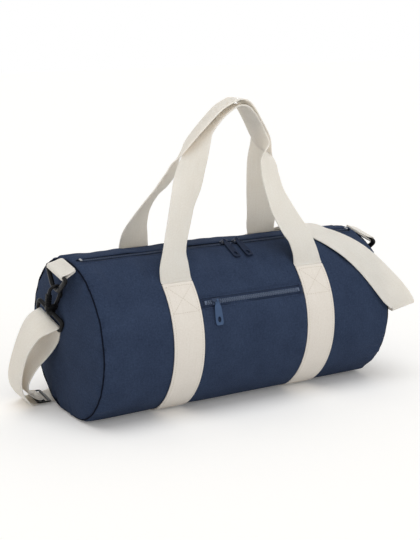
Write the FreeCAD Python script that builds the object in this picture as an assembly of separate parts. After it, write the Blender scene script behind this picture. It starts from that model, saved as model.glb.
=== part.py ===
import FreeCAD, Part
import math
import os

os.makedirs("parts", exist_ok=True)

# Barrel: length along X, radius, height of its axis above the floor, cloth thickness
BARREL_LENGTH = 500.0
BARREL_RADIUS = 124.0
AXIS_HEIGHT = 114.0
CLOTH = 1.8
END_BULGE = 9.0
SEAM_GAP = 0.2
BINDING_DEPTH = 8.0
BINDING_THICK = 1.4
CLEAR = 0.3

# Turn of the whole barrel about its axis, zip line towards the front
ROLL = 11.0

# Webbing of the handles, tabs and shoulder strap
WEB_WIDTH = 50.0
WEB_THICK = 1.9
BAND_X = 116.0
HANDLE_ARC = 69.2
BAND_END = 7.0
GRIP_HEIGHT = 449.0
GRIP_FRONT = 40.0

# Mouth: the two lips that fold up when the main zip is open
LIP_ARC = 56.3
LIP_LEFT = 165.0
LIP_RIGHT = 85.0
LIP_GAP = 0.4

# Main zip, which stops ZIP_END short of each end seam
ZIP_END = 12.0
SLOT_HALF = 8.0
TAPE_HALF = 15.0
TAPE_THICK = 0.7
BEAD_INNER = 0.8
BEAD_OUTER = 2.8
BEAD_RISE = 0.6
STOP_LENGTH = 3.0
SLIDER_LENGTH = 13.0
SLIDER_WIDTH = 9.5
SLIDER_PLATE = 1.4
SLIDER_POST = 1.0
SLIDER_MIDDLE = 15.0
SLIDER_SPACING = 22.0
BRIDGE_RADIUS = 0.9
BRIDGE_RISE = 2.6
BRIDGE_LEG = 1.6
PULL_LENGTH = 44.0
PULL_WIDTH = 8.0
PULL_THICK = 1.6
PULL_EYE = 2.6
PULL_REST = 2.4
PULL_HOLE_LENGTH = 9.0
PULL_HOLE_WIDTH = 3.0

# Front pocket between the two webbing bands, its levels measured round the barrel from the zip line
POCKET_TOP_ARC = 100.4
POCKET_FOLD_ARC = 104.8
POCKET_ZIP_ARC = 111.7
POCKET_SEAM_ARC = 118.6
POCKET_FOOT_ARC = 294.0
POCKET_CLOTH = 1.2
POCKET_ZIP_HALF = 80.0
POCKET_SLIDER_X = -65.0
POCKET_PULL_LENGTH = 36.0
POCKET_PULL_WIDTH = 9.0

# Ring tab and plastic ring at each end
TAB_BAR_OUT = 23.0
TAB_BAR_DROP = 13.0
RING_STOCK = 2.5
RING_HALF_TOP = 33.0
RING_HALF_FOOT = 9.0
RING_DROP = 27.0

# Swivel snap hook
HOOK_INNER = 6.5
HOOK_STOCK = 5.0
HOOK_TIP = 3.0
HOOK_BLOCK_AT = 28.0
HOOK_BLOCK = 8.0
GATE_THICK = 4.0
PIN_RADIUS = 3.0
PIN_HEAD = 4.6
PIN_HEAD_THICK = 2.4
BASE_PLATE = 5.0
BASE_DEPTH = 8.0
BASE_HALF = 31.0
BASE_ARM = 4.5
BASE_BAR_DROP = 20.0
BASE_BAR_RADIUS = 2.5
LEFT_HOOK_LEAN = 18.0
RIGHT_HOOK_LEAN = -30.0
LEFT_BASE_TURN = -14.0
RIGHT_BASE_TURN = 0.0
LEFT_STRAP_LEAVE = -40.0

# Strap adjuster
GLIDE_LENGTH = 20.0
GLIDE_HALF = 30.0
GLIDE_SLOT = 7.0
GLIDE_BAR = 3.0
GLIDE_THICK = 2.6

# Handle routes: share of BAND_X, of the way from foot to grip forward and up, of WEB_WIDTH, turn of the width
FRONT_HANDLE_SHARES = [
    (-0.996, 0.097, 0.071, 1.00, -5.0),
    (-0.968, 0.200, 0.158, 1.00, -20.0),
    (-0.909, 0.317, 0.252, 1.00, -22.0),
    (-0.843, 0.427, 0.338, 1.00, -20.0),
    (-0.759, 0.559, 0.451, 0.96, -14.0),
    (-0.664, 0.674, 0.551, 0.88, 8.0),
    (-0.590, 0.758, 0.630, 0.80, 30.0),
    (-0.513, 0.813, 0.704, 0.76, 48.0),
    (-0.431, 0.912, 0.774, 0.74, 66.0),
    (-0.345, 1.000, 0.832, 0.72, 80.0),
    (-0.172, 1.000, 0.916, 0.72, 86.0),
    (0.026, 1.000, 0.977, 0.72, 88.0),
    (0.138, 1.000, 0.988, 0.72, 86.0),
    (0.241, 1.000, 0.965, 0.72, 82.0),
    (0.359, 1.000, 0.889, 0.72, 77.0),
    (0.461, 1.000, 0.801, 0.72, 76.0),
    (0.526, 0.967, 0.741, 0.73, 84.0),
    (0.552, 0.912, 0.698, 0.76, 116.0),
    (0.565, 0.835, 0.657, 0.80, 146.0),
    (0.569, 0.758, 0.610, 0.84, 156.0),
    (0.582, 0.659, 0.532, 0.88, 158.0),
    (0.625, 0.548, 0.437, 0.94, 158.0),
    (0.691, 0.443, 0.351, 1.00, 163.0),
    (0.813, 0.306, 0.242, 1.00, 167.0),
    (0.920, 0.207, 0.164, 1.00, 168.0),
    (0.987, 0.090, 0.067, 1.00, 173.0),
]
REAR_HANDLE_SHARES = [
    (-1.022, 0.081, 0.069, 1.00, 8.0),
    (-1.039, 0.187, 0.148, 1.00, 19.0),
    (-0.990, 0.335, 0.266, 1.00, 36.0),
    (-0.879, 0.470, 0.379, 1.00, 42.0),
    (-0.772, 0.558, 0.454, 1.00, 37.0),
    (-0.677, 0.658, 0.546, 0.92, 38.0),
    (-0.616, 0.700, 0.633, 0.82, 52.0),
    (-0.560, 0.835, 0.718, 0.76, 70.0),
    (-0.431, 0.959, 0.823, 0.72, 78.0),
    (-0.168, 1.000, 0.959, 0.72, 83.0),
    (0.017, 1.000, 1.011, 0.72, 88.0),
    (0.134, 1.000, 1.027, 0.72, 91.0),
    (0.254, 1.000, 0.992, 0.72, 96.0),
    (0.391, 1.000, 0.876, 0.72, 103.0),
    (0.534, 0.929, 0.773, 0.72, 103.0),
    (0.629, 0.753, 0.674, 0.76, 110.0),
    (0.690, 0.611, 0.564, 0.84, 131.0),
    (0.776, 0.476, 0.385, 0.94, 150.0),
    (0.892, 0.264, 0.193, 1.00, 167.0),
    (0.948, 0.105, 0.078, 1.00, 174.0),
]

# Shoulder strap routes: shares of BARREL_LENGTH, BARREL_RADIUS and AXIS_HEIGHT, then the width direction
STRAP_OUTER_SHARES = [
    (-0.5740, 0.117, 1.237, (-0.20, 0.88, 0.42)),
    (-0.5970, 0.161, 1.140, (-0.08, 0.96, 0.26)),
    (-0.6190, 0.250, 0.895, (0.02, 0.99, 0.10)),
    (-0.6270, 0.387, 0.561, (0.00, 0.99, 0.04)),
    (-0.6180, 0.492, 0.316, (0.00, 0.99, 0.03)),
    (-0.5900, 0.589, 0.123, (0.03, 0.99, 0.00)),
    (-0.5620, 0.669, 0.021, (0.08, 0.99, 0.00)),
    (-0.5300, 0.710, 0.016, (0.12, 0.99, 0.00)),
    (-0.5000, 0.710, 0.016, (0.08, 0.99, 0.00)),
]
STRAP_INNER_SHARES = [
    (-0.5220, 0.710, 0.062, (0.12, 0.99, 0.00)),
    (-0.5440, 0.694, 0.082, (0.08, 0.99, 0.00)),
    (-0.5800, 0.613, 0.211, (0.02, 0.99, 0.05)),
    (-0.5960, 0.508, 0.377, (0.00, 0.99, 0.10)),
    (-0.5940, 0.411, 0.535, (0.00, 0.98, 0.16)),
    (-0.5800, 0.339, 0.702, (-0.03, 0.96, 0.22)),
    (-0.5550, 0.258, 0.886, (-0.08, 0.93, 0.32)),
    (-0.5390, 0.177, 1.079, (-0.16, 0.89, 0.42)),
]
STRAP_END_SHARES = [
    (0.5136, -0.994, 1.299, (-0.81, -0.16, -0.57)),
    (0.5370, -1.005, 1.193, (-0.91, -0.15, -0.38)),
    (0.5580, -0.990, 1.101, (-0.97, -0.14, -0.16)),
    (0.5632, -0.964, 1.061, (-0.98, -0.12, -0.12)),
    (0.5640, -0.927, 1.060, (-0.98, -0.08, -0.12)),
    (0.5640, -0.871, 1.079, (-0.98, -0.02, -0.14)),
    (0.5640, -0.790, 1.092, (-0.96, 0.06, -0.20)),
    (0.5630, -0.677, 1.070, (-0.87, 0.20, -0.42)),
    (0.5610, -0.532, 1.035, (-0.60, 0.56, -0.56)),
    (0.5570, -0.387, 1.079, (-0.22, 0.85, -0.47)),
]
# Rear run: share of BARREL_LENGTH, turn from the top to the front, share of STRAP_LIFT, share lying flat
STRAP_REAR_SHARES = [
    (-0.430, -139.6, 3.30, 0.8),
    (-0.364, -136.0, 2.50, 0.4),
    (-0.300, -131.0, 1.30, 0.0),
    (-0.200, -121.0, 1.00, 0.0),
    (-0.100, -110.0, 1.00, 0.0),
    (0.000, -97.0, 1.00, 0.0),
    (0.090, -82.0, 1.00, 0.0),
    (0.176, -65.0, 1.00, 0.0),
    (0.256, -47.0, 1.10, 0.0),
    (0.316, -33.0, 1.10, 0.0),
    (0.336, -22.0, 1.10, 0.0),
    (0.341, -10.0, 1.00, 0.0),
    (0.343, 3.0, 0.85, 0.0),
    (0.347, 13.7, 0.75, 0.0),
    (0.377, 26.1, 0.72, 0.0),
    (0.415, 39.3, 0.70, 0.0),
    (0.450, 52.6, 0.70, 0.0),
    (0.482, 64.5, 0.70, 0.0),
    (0.512, 74.0, 0.75, 0.0),
]
STRAP_LIFT = 5.0
STRAP_RETURN = 30.0
STRAP_JOIN = 0.8
ROUTE_STEPS = 3
LEVEL_SECTIONS = 9

X_AXIS = FreeCAD.Vector(1, 0, 0)
Z_AXIS = FreeCAD.Vector(0, 0, 1)
HALF = BARREL_LENGTH / 2
AXIS_POINT = FreeCAD.Vector(0, 0, AXIS_HEIGHT)
REACH = BARREL_LENGTH + GRIP_HEIGHT


def save(name, *solids):
    shape = solids[0] if len(solids) == 1 else Part.makeCompound(list(solids))
    shape.exportStep("parts/" + name + ".step")
    print(name, round(sum(s.Volume for s in shape.Solids)), all(s.isValid() for s in shape.Solids))


# Point at a turn from the zip line towards the front, at a radius from the barrel's axis
def place(turn, radius, x=0.0):
    angle = math.radians(ROLL + turn)
    return FreeCAD.Vector(x, -radius * math.sin(angle), AXIS_HEIGHT + radius * math.cos(angle))


def arc_turn(length, radius=BARREL_RADIUS):
    return math.degrees(length / radius)


# Slice of a tube round the barrel's axis
def sector(inner, outer, turn0, turn1, x0, x1):
    middle = (turn0 + turn1) / 2
    over = Part.Arc(place(turn0, outer, x0), place(middle, outer, x0), place(turn1, outer, x0)).toShape()
    under = Part.Arc(place(turn1, inner, x0), place(middle, inner, x0), place(turn0, inner, x0)).toShape()
    side0 = Part.makeLine(place(turn1, outer, x0), place(turn1, inner, x0))
    side1 = Part.makeLine(place(turn0, inner, x0), place(turn0, outer, x0))
    face = Part.Face(Part.Wire([over, side0, under, side1]))
    return face.extrude(FreeCAD.Vector(x1 - x0, 0, 0))


def round_bar(start, end, radius):
    run = end - start
    return Part.makeCylinder(radius, run.Length, start, run)


def block(x0, x1, y0, y1, z0, z1):
    return Part.makeBox(x1 - x0, y1 - y0, z1 - z0, FreeCAD.Vector(x0, y0, z0))


# Solid from a box in a frame of three ways
def frame_box(origin, ways, low, high):
    corner = origin + ways[0] * low[0] + ways[1] * low[1] + ways[2] * low[2]
    wire = [corner]
    wire.append(corner + ways[0] * (high[0] - low[0]))
    wire.append(wire[1] + ways[1] * (high[1] - low[1]))
    wire.append(corner + ways[1] * (high[1] - low[1]))
    face = Part.Face(Part.makePolygon(wire + wire[:1]))
    return face.extrude(ways[2] * (high[2] - low[2]))


# Barrel solid standing on a floor at a given height
def drum(radius, floor, x0, x1):
    whole = Part.makeCylinder(radius, x1 - x0, FreeCAD.Vector(x0, 0, AXIS_HEIGHT), X_AXIS)
    return whole.common(block(x0, x1, -radius, radius, floor, AXIS_HEIGHT + radius))


# Smooth route through rows of numbers, with even steps between them
def smooth(rows, steps):
    found = []
    count = len(rows)
    for i in range(count - 1):
        before = rows[max(i - 1, 0)]
        after = rows[min(i + 2, count - 1)]
        for k in range(steps):
            t = k / steps
            row = []
            for a, b, c, d in zip(before, rows[i], rows[i + 1], after):
                bend = (2 * a - 5 * b + 4 * c - d) * t * t
                turn = (3 * b - a - 3 * c + d) * t * t * t
                row.append((2 * b + (c - a) * t + bend + turn) / 2)
            found.append(row)
    found.append(list(rows[-1]))
    return found


# Ribbon of webbing through centres with a width direction each, closed by a face at each end
def ribbon(centres, widths, sizes):
    sections = []
    last = len(centres) - 1
    for i, centre in enumerate(centres):
        heading = centres[min(i + 1, last)] - centres[max(i - 1, 0)]
        heading.normalize()
        across = FreeCAD.Vector(widths[i])
        across.normalize()
        out = heading.cross(across)
        out.normalize()
        side = across * (sizes[i] / 2)
        rise = out * (WEB_THICK / 2)
        corners = [centre - side - rise, centre + side - rise, centre + side + rise, centre - side + rise]
        sections.append(Part.makePolygon(corners + corners[:1]))
    faces = [Part.Face(sections[0]), Part.Face(sections[-1])]
    for near, far in zip(sections, sections[1:]):
        for k in range(4):
            faces.append(Part.makeRuledSurface(near.Edges[k], far.Edges[k]))
    shell = Part.makeShell(faces)
    shell.sewShape()
    solid = Part.makeSolid(shell)
    if solid.Volume < 0:
        solid.reverse()
    return solid


# Barrel cloth: one wrap from the front lip under the base to the rear lip, dented over the two bands
BAND_OUTER = BARREL_RADIUS + CLEAR + WEB_THICK
DENT = WEB_THICK + CLEAR
outer = drum(BARREL_RADIUS, 0, -HALF, HALF)
inner = drum(BARREL_RADIUS - CLOTH, CLOTH, -HALF, HALF)
for side in (-1, 1):
    reach = WEB_WIDTH / 2 + CLEAR
    middle = side * BAND_X
    outer = outer.cut(block(middle - reach, middle + reach, -REACH, REACH, 0, DENT))
    reach = reach + CLOTH
    inner = inner.cut(block(middle - reach, middle + reach, -REACH, REACH, 0, DENT + CLOTH))
wrap = outer.cut(inner)
slot_turn = arc_turn(SLOT_HALF)
hinge_radius = BARREL_RADIUS - CLOTH / 2
nose_turn = arc_turn(CLOTH / 2 + CLEAR, hinge_radius)
low = BARREL_RADIUS / 2
high = BARREL_RADIUS + WEB_WIDTH
lip_turn = arc_turn(LIP_ARC)
window_turn = lip_turn + nose_turn
zip_half = BARREL_LENGTH / 2 - ZIP_END
wrap = wrap.cut(sector(low, high, -slot_turn, slot_turn, -zip_half, zip_half))
wrap = wrap.cut(sector(low, high, -window_turn, window_turn, -LIP_LEFT - LIP_GAP, LIP_RIGHT + LIP_GAP))
save("barrel_wrap", wrap)

# Round end panels, bulged a little, and the binding tape over each inside seam
ball = (BARREL_RADIUS * BARREL_RADIUS + END_BULGE * END_BULGE) / (2 * END_BULGE)
for name, side in (("left", -1), ("right", 1)):
    middle = FreeCAD.Vector(side * (HALF + SEAM_GAP + CLOTH + END_BULGE - ball), 0, AXIS_HEIGHT)
    dome = Part.makeSphere(ball, middle).cut(Part.makeSphere(ball - CLOTH, middle))
    near = HALF + SEAM_GAP
    far = near + END_BULGE + CLOTH + SEAM_GAP
    keep = drum(BARREL_RADIUS, 0, min(side * near, side * far), max(side * near, side * far))
    save(name + "_end_panel", dome.common(keep))
    near = HALF - SEAM_GAP
    far = near - BINDING_THICK
    x0 = min(side * near, side * far)
    x1 = max(side * near, side * far)
    top = BARREL_RADIUS - CLOTH - SEAM_GAP
    ring = drum(top, CLOTH + SEAM_GAP, x0, x1)
    ring = ring.cut(drum(top - BINDING_DEPTH, CLOTH + SEAM_GAP + BINDING_DEPTH, x0, x1))
    save(name + "_seam_binding", ring)

# Webbing bands sewn round the barrel under the base
hinge_arm = BARREL_RADIUS + CLEAR + WEB_THICK / 2
handle_turn = arc_turn(HANDLE_ARC)
band_turn = handle_turn + arc_turn(BAND_END, hinge_arm)
for name, side in (("left", -1), ("right", 1)):
    x0 = side * BAND_X - WEB_WIDTH / 2
    x1 = side * BAND_X + WEB_WIDTH / 2
    band = drum(BAND_OUTER, 0, x0, x1).cut(drum(BARREL_RADIUS + CLEAR, WEB_THICK, x0, x1))
    save(name + "_band", band.cut(sector(low, high, -band_turn, band_turn, x0, x1)))


# Handle loop with a round nose on its swing line
def handle(shares, turn):
    foot = place(turn, hinge_arm)
    rows = []
    for across, lean, rise, width, twist in shares:
        y = foot.y - lean * (GRIP_FRONT + foot.y)
        z = foot.z + rise * (GRIP_HEIGHT - foot.z)
        rows.append((across * BAND_X, y, z, width * WEB_WIDTH, twist))
    rows.insert(0, (-BAND_X, foot.y, foot.z, WEB_WIDTH, 0))
    rows.append((BAND_X, foot.y, foot.z, WEB_WIDTH, 180))
    route = smooth(rows, ROUTE_STEPS)
    facing = -1 if turn > 0 else 1
    centres = [FreeCAD.Vector(r[0], r[1], r[2]) for r in route]
    widths = []
    last = len(route) - 1
    for i, r in enumerate(route):
        angle = math.radians(r[4])
        width = FreeCAD.Vector(math.cos(angle), facing * math.sin(angle), 0)
        heading = centres[min(i + 1, last)] - centres[max(i - 1, 0)]
        heading.normalize()
        square = min(1, min(i, last - i) / LEVEL_SECTIONS)
        widths.append(width - heading * (width.dot(heading) * square))
    loop = ribbon(centres, widths, [r[3] for r in route])
    for side in (-1, 1):
        start = FreeCAD.Vector(side * BAND_X - WEB_WIDTH / 2, foot.y, foot.z)
        end = FreeCAD.Vector(side * BAND_X + WEB_WIDTH / 2, foot.y, foot.z)
        loop = loop.fuse(round_bar(start, end, WEB_THICK / 2))
    return loop


save("front_handle", handle(FRONT_HANDLE_SHARES, handle_turn))
save("rear_handle", handle(REAR_HANDLE_SHARES, -handle_turn))

# Mouth lips, each with a round edge on its fold line
for name, side in (("front", 1), ("rear", -1)):
    turns = sorted((side * slot_turn, side * lip_turn))
    lip = sector(BARREL_RADIUS - CLOTH, BARREL_RADIUS, turns[0], turns[1], -LIP_LEFT, LIP_RIGHT)
    left = place(side * lip_turn, hinge_radius, -LIP_LEFT)
    right = place(side * lip_turn, hinge_radius, LIP_RIGHT)
    save(name + "_lip", lip.fuse(round_bar(left, right, CLOTH / 2)))

# Main zip: a tape and a row of teeth on each lip, the closed ends on the barrel, and a stop at each end
tape_top = BARREL_RADIUS - CLOTH - SEAM_GAP
tape_low = tape_top - TAPE_THICK
bead_top = BARREL_RADIUS + BEAD_RISE


def tape_and_teeth(side, x0, x1):
    turns = sorted((side * arc_turn(BEAD_OUTER + SEAM_GAP), side * arc_turn(TAPE_HALF)))
    tape = sector(tape_low, tape_top, turns[0], turns[1], x0, x1)
    turns = sorted((side * arc_turn(BEAD_INNER), side * arc_turn(BEAD_OUTER)))
    return tape, sector(tape_low, bead_top, turns[0], turns[1], x0, x1)


for name, side in (("front", 1), ("rear", -1)):
    tape, teeth = tape_and_teeth(side, -LIP_LEFT, LIP_RIGHT)
    save(name + "_zip_tape", tape)
    save(name + "_zip_teeth", teeth)
for name, x0, x1 in (("left", -zip_half, -LIP_LEFT - LIP_GAP), ("right", LIP_RIGHT + LIP_GAP, zip_half)):
    front = tape_and_teeth(1, x0, x1)
    rear = tape_and_teeth(-1, x0, x1)
    save(name + "_zip_end_tapes", front[0], rear[0])
    save(name + "_zip_end_teeth", front[1], rear[1])
    stop_turn = arc_turn(BEAD_OUTER)
    x0 = -zip_half if name == "left" else zip_half - STOP_LENGTH
    stop_low = bead_top + SEAM_GAP
    stop = sector(stop_low, stop_low + BEAD_RISE, -stop_turn, stop_turn, x0, x0 + STOP_LENGTH)
    save(name + "_zip_stop", stop)


# Zip slider over a row of teeth at a turn, with a bridge along the zip
def slider(turn, floor, crown, x, with_sole):
    half = SLIDER_LENGTH / 2
    wide = arc_turn(SLIDER_WIDTH / 2)
    post = arc_turn(SLIDER_POST / 2)
    plate_low = crown + CLEAR
    plate_top = plate_low + SLIDER_PLATE
    body = sector(plate_low, plate_top, turn - wide, turn + wide, x - half, x + half)
    body = body.fuse(sector(floor, plate_low, turn - post, turn + post, x - half, x + half))
    if with_sole:
        sole = sector(floor - SLIDER_PLATE, floor, turn - wide, turn + wide, x - half, x + half)
        body = body.fuse(sole)
    bar = plate_top + BRIDGE_RISE
    body = body.fuse(round_bar(place(turn, bar, x - half), place(turn, bar, x + half), BRIDGE_RADIUS))
    leg = arc_turn(BRIDGE_RADIUS)
    for start in (x - half, x + half - BRIDGE_LEG):
        body = body.fuse(sector(plate_low, bar, turn - leg, turn + leg, start, start + BRIDGE_LEG))
    return body, bar


# Pull tab lying on the cloth in front of its slider, with an eye round the bridge
def pull(turn, bar, length, width, rest, x):
    centre = place(turn, bar, x)
    tip = place(turn + arc_turn(length), rest, x)
    run = tip - centre
    run.normalize()
    ways = (X_AXIS, run, X_AXIS.cross(run))
    half = width / 2
    thin = PULL_THICK / 2
    tab = frame_box(centre, ways, (-half, PULL_EYE * 2, -thin), (half, length, thin))
    tab = tab.fuse(frame_box(centre, ways, (-half / 2, 0, -thin), (half / 2, PULL_EYE * 2, thin)))
    tab = tab.fuse(Part.makeCylinder(PULL_EYE, half, centre - X_AXIS * (half / 2), X_AXIS))
    tab = tab.cut(Part.makeCylinder(BRIDGE_RADIUS + CLEAR, width, centre - X_AXIS * half, X_AXIS))
    slot_half = PULL_HOLE_WIDTH / 2
    slot_low = (-slot_half, length - PULL_HOLE_LENGTH * 1.5, -PULL_THICK)
    slot_high = (slot_half, length - PULL_HOLE_LENGTH / 2, PULL_THICK)
    return tab.cut(frame_box(centre, ways, slot_low, slot_high))


for name, side in (("left", -1), ("right", 1)):
    x = SLIDER_MIDDLE + side * SLIDER_SPACING / 2
    body, bar = slider(0, tape_low - CLEAR, bead_top, x, True)
    save("main_slider_" + name, body)
    save("main_pull_" + name, pull(0, bar, PULL_LENGTH, PULL_WIDTH, BARREL_RADIUS + PULL_REST, x))

# Front pocket: top strip, cloth panel, zip tapes, teeth, stops, slider and pull
skin = BARREL_RADIUS + SEAM_GAP
pocket_half = BAND_X - WEB_WIDTH / 2 - CLEAR
fold_turn = arc_turn(POCKET_FOLD_ARC)
zip_turn = arc_turn(POCKET_ZIP_ARC)
seam_turn = arc_turn(POCKET_SEAM_ARC)
strip = sector(skin, skin + POCKET_CLOTH, arc_turn(POCKET_TOP_ARC), fold_turn, -pocket_half, pocket_half)
save("pocket_top_strip", strip)
panel = sector(skin, skin + POCKET_CLOTH, seam_turn, arc_turn(POCKET_FOOT_ARC), -pocket_half, pocket_half)
save("pocket_panel", panel)
pocket_bead_low = skin + TAPE_THICK + SEAM_GAP
pocket_bead_top = pocket_bead_low + BEAD_OUTER - BEAD_INNER
pocket_tapes = []
pocket_teeth = []
for side in (-1, 1):
    edge = fold_turn if side < 0 else seam_turn
    turns = sorted((edge - side * arc_turn(SEAM_GAP), zip_turn + side * arc_turn(BEAD_INNER)))
    pocket_tapes.append(sector(skin, skin + TAPE_THICK, turns[0], turns[1], -pocket_half, pocket_half))
    turns = sorted(zip_turn + side * arc_turn(edge) for edge in (BEAD_INNER, BEAD_OUTER))
    teeth = sector(pocket_bead_low, pocket_bead_top, turns[0], turns[1], -POCKET_ZIP_HALF, POCKET_ZIP_HALF)
    pocket_teeth.append(teeth)
save("pocket_zip_tapes", *pocket_tapes)
save("pocket_zip_teeth", *pocket_teeth)
stops = []
for side in (-1, 1):
    near = POCKET_ZIP_HALF + SEAM_GAP
    far = near + STOP_LENGTH
    wide = arc_turn(BEAD_OUTER)
    x0 = min(side * near, side * far)
    turns = (zip_turn - wide, zip_turn + wide)
    stops.append(sector(pocket_bead_low, pocket_bead_top, turns[0], turns[1], x0, x0 + STOP_LENGTH))
save("pocket_zip_stops", *stops)
body, bar = slider(zip_turn, pocket_bead_low, pocket_bead_top, POCKET_SLIDER_X, False)
save("pocket_slider", body)
rest = skin + POCKET_CLOTH + PULL_REST
tab = pull(zip_turn, bar, POCKET_PULL_LENGTH, POCKET_PULL_WIDTH, rest, POCKET_SLIDER_X)
save("pocket_pull", tab)


# Frame of one end: bar of the ring, with the way along the bar and the way down the ring
def end_frame(side):
    bar = place(0, BARREL_RADIUS - TAB_BAR_DROP, side * (HALF + TAB_BAR_OUT))
    down = AXIS_POINT - place(0, BARREL_RADIUS)
    down.normalize()
    along = X_AXIS.cross(down)
    return bar, along, down


strap_bars = {}
for name, side in (("left", -1), ("right", 1)):
    bar, along, down = end_frame(side)
    # Webbing tab folded round the ring's bar and sewn into the end seam
    hole = RING_STOCK + CLEAR
    eye = hole + WEB_THICK
    seam = place(0, BARREL_RADIUS - WEB_THICK * 2, side * (HALF + SEAM_GAP + CLOTH * 2))
    run = seam - bar
    length = run.Length
    run.normalize()
    out = run.cross(along)
    ways = (run, along, out)
    half = WEB_WIDTH / 2
    tab = Part.makeCylinder(eye, WEB_WIDTH, bar - along * half, along)
    tab = tab.fuse(frame_box(bar, ways, (0, -half, -WEB_THICK), (length, half, WEB_THICK)))
    tab = tab.cut(Part.makeCylinder(hole, WEB_WIDTH, bar - along * half, along))
    save(name + "_ring_tab", tab)
    # Plastic ring: bar, two arms and foot
    corners = [bar - along * RING_HALF_TOP, bar + along * RING_HALF_TOP]
    foot = bar + down * RING_DROP
    corners.append(foot + along * RING_HALF_FOOT)
    corners.append(foot - along * RING_HALF_FOOT)
    ring = Part.makeSphere(RING_STOCK, corners[0])
    for i in range(4):
        ring = ring.fuse(round_bar(corners[i], corners[(i + 1) % 4], RING_STOCK))
        ring = ring.fuse(Part.makeSphere(RING_STOCK, corners[i]))
    save(name + "_ring", ring)
    # Snap hook hanging in the ring's foot
    lean = math.radians(LEFT_HOOK_LEAN if side < 0 else RIGHT_HOOK_LEAN)
    drop = down * math.cos(lean) + FreeCAD.Vector(0, -down.z, down.y) * math.sin(lean)
    inward = FreeCAD.Vector(-side, 0, 0)
    across = inward.cross(drop)
    ways = (inward, drop, across)
    far = HOOK_INNER + HOOK_STOCK
    half = HOOK_STOCK / 2
    bar_reach = RING_STOCK / math.cos(lean) + half * abs(math.tan(lean))
    eye = foot + drop * (HOOK_INNER - bar_reach - CLEAR)
    curl = Part.makeCylinder(far, HOOK_STOCK, eye - across * half, across)
    curl = curl.cut(Part.makeCylinder(HOOK_INNER, HOOK_STOCK, eye - across * half, across))
    curl = curl.cut(frame_box(eye, ways, (-far, 0, -half), (far, far, half)))
    tip = frame_box(eye, ways, (HOOK_INNER, 0, -half), (far, HOOK_TIP, half))
    shank = frame_box(eye, ways, (-far, 0, -half), (-HOOK_INNER, HOOK_BLOCK_AT, half))
    block_foot = HOOK_BLOCK_AT + HOOK_BLOCK
    chunk = frame_box(eye, ways, (-far, HOOK_BLOCK_AT, -half), (far, block_foot, half))
    plate_at = block_foot + CLEAR
    plate_foot = plate_at + BASE_PLATE
    head_at = plate_foot + CLEAR
    pin = Part.makeCylinder(PIN_RADIUS, head_at - block_foot, eye + drop * block_foot, drop)
    head = Part.makeCylinder(PIN_HEAD, PIN_HEAD_THICK, eye + drop * head_at, drop)
    hook = curl.fuse(tip).fuse(shank).fuse(chunk).fuse(pin).fuse(head)
    save(name + "_hook", hook)
    # Sprung gate that closes the hook
    gate_middle = HOOK_INNER + HOOK_STOCK / 2
    thin = GATE_THICK / 2
    pivot = HOOK_BLOCK_AT - CLEAR - thin
    gate_low = (gate_middle - thin, HOOK_TIP + CLEAR + SEAM_GAP, -half)
    gate = frame_box(eye, ways, gate_low, (gate_middle + thin, pivot, half))
    heel = eye + inward * gate_middle + drop * pivot
    gate = gate.fuse(Part.makeCylinder(thin, HOOK_STOCK, heel - across * half, across))
    save(name + "_hook_gate", gate)
    # Swivel base with the bar that carries the strap, turned a little about the hook's pin
    turn = math.radians(LEFT_BASE_TURN if side < 0 else RIGHT_BASE_TURN)
    base_in = inward * math.cos(turn) - across * math.sin(turn)
    across = across * math.cos(turn) + inward * math.sin(turn)
    ways = (base_in, drop, across)
    deep = BASE_DEPTH / 2
    base = frame_box(eye, ways, (-deep, plate_at, -BASE_HALF), (deep, plate_foot, BASE_HALF))
    base = base.cut(Part.makeCylinder(PIN_RADIUS + CLEAR, REACH, eye, drop))
    strap_bar = plate_foot + BASE_BAR_DROP - BASE_PLATE
    thin = BASE_BAR_RADIUS
    for end in (-1, 1):
        span = sorted((end * (BASE_HALF - BASE_ARM), end * BASE_HALF))
        arm = frame_box(eye, ways, (-thin, plate_foot, span[0]), (thin, strap_bar, span[1]))
        base = base.fuse(arm)
    start = eye + drop * strap_bar - across * BASE_HALF
    base = base.fuse(Part.makeCylinder(thin, BASE_HALF * 2, start, across))
    save(name + "_hook_base", base)
    strap_bars[name] = (eye + drop * strap_bar, drop, across, base_in * -side)


# Shoulder strap
def strap_rows(shares):
    rows = []
    for across, back, rise, width in shares:
        rows.append((across * BARREL_LENGTH, back * BARREL_RADIUS, rise * AXIS_HEIGHT) + width)
    return rows


# Rows of a strap that goes over a base's bar, from one side of it to the other
def over_bar(name, start_angle, end_angle):
    centre, drop, across, right = strap_bars[name]
    rows = []
    arm = BASE_BAR_RADIUS + CLEAR + WEB_THICK / 2
    width = across if across.y > 0 else across * -1
    for k in range(5):
        angle = math.radians(start_angle + (end_angle - start_angle) * k / 4)
        point = centre + right * (arm * math.sin(angle)) - drop * (arm * math.cos(angle))
        rows.append(tuple(point) + tuple(width))
    return rows


# Strap through several runs, each smooth by itself and ending where the next one starts
def strap(*runs):
    route = []
    for rows in runs:
        route = route[:-1] + smooth(rows, ROUTE_STEPS)
    centres = [FreeCAD.Vector(*r[:3]) for r in route]
    widths = [FreeCAD.Vector(*r[3:]) for r in route]
    return ribbon(centres, widths, [WEB_WIDTH] * len(route))


# Left end: from the adjuster up to the base's bar, over it and down again to the floor
turn = over_bar("left", 90, LEFT_STRAP_LEAVE)
up = strap_rows(STRAP_INNER_SHARES) + turn[:1]
down = turn[-1:] + strap_rows(STRAP_OUTER_SHARES)
save("strap_left_loop", strap(up, turn, down))

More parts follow.
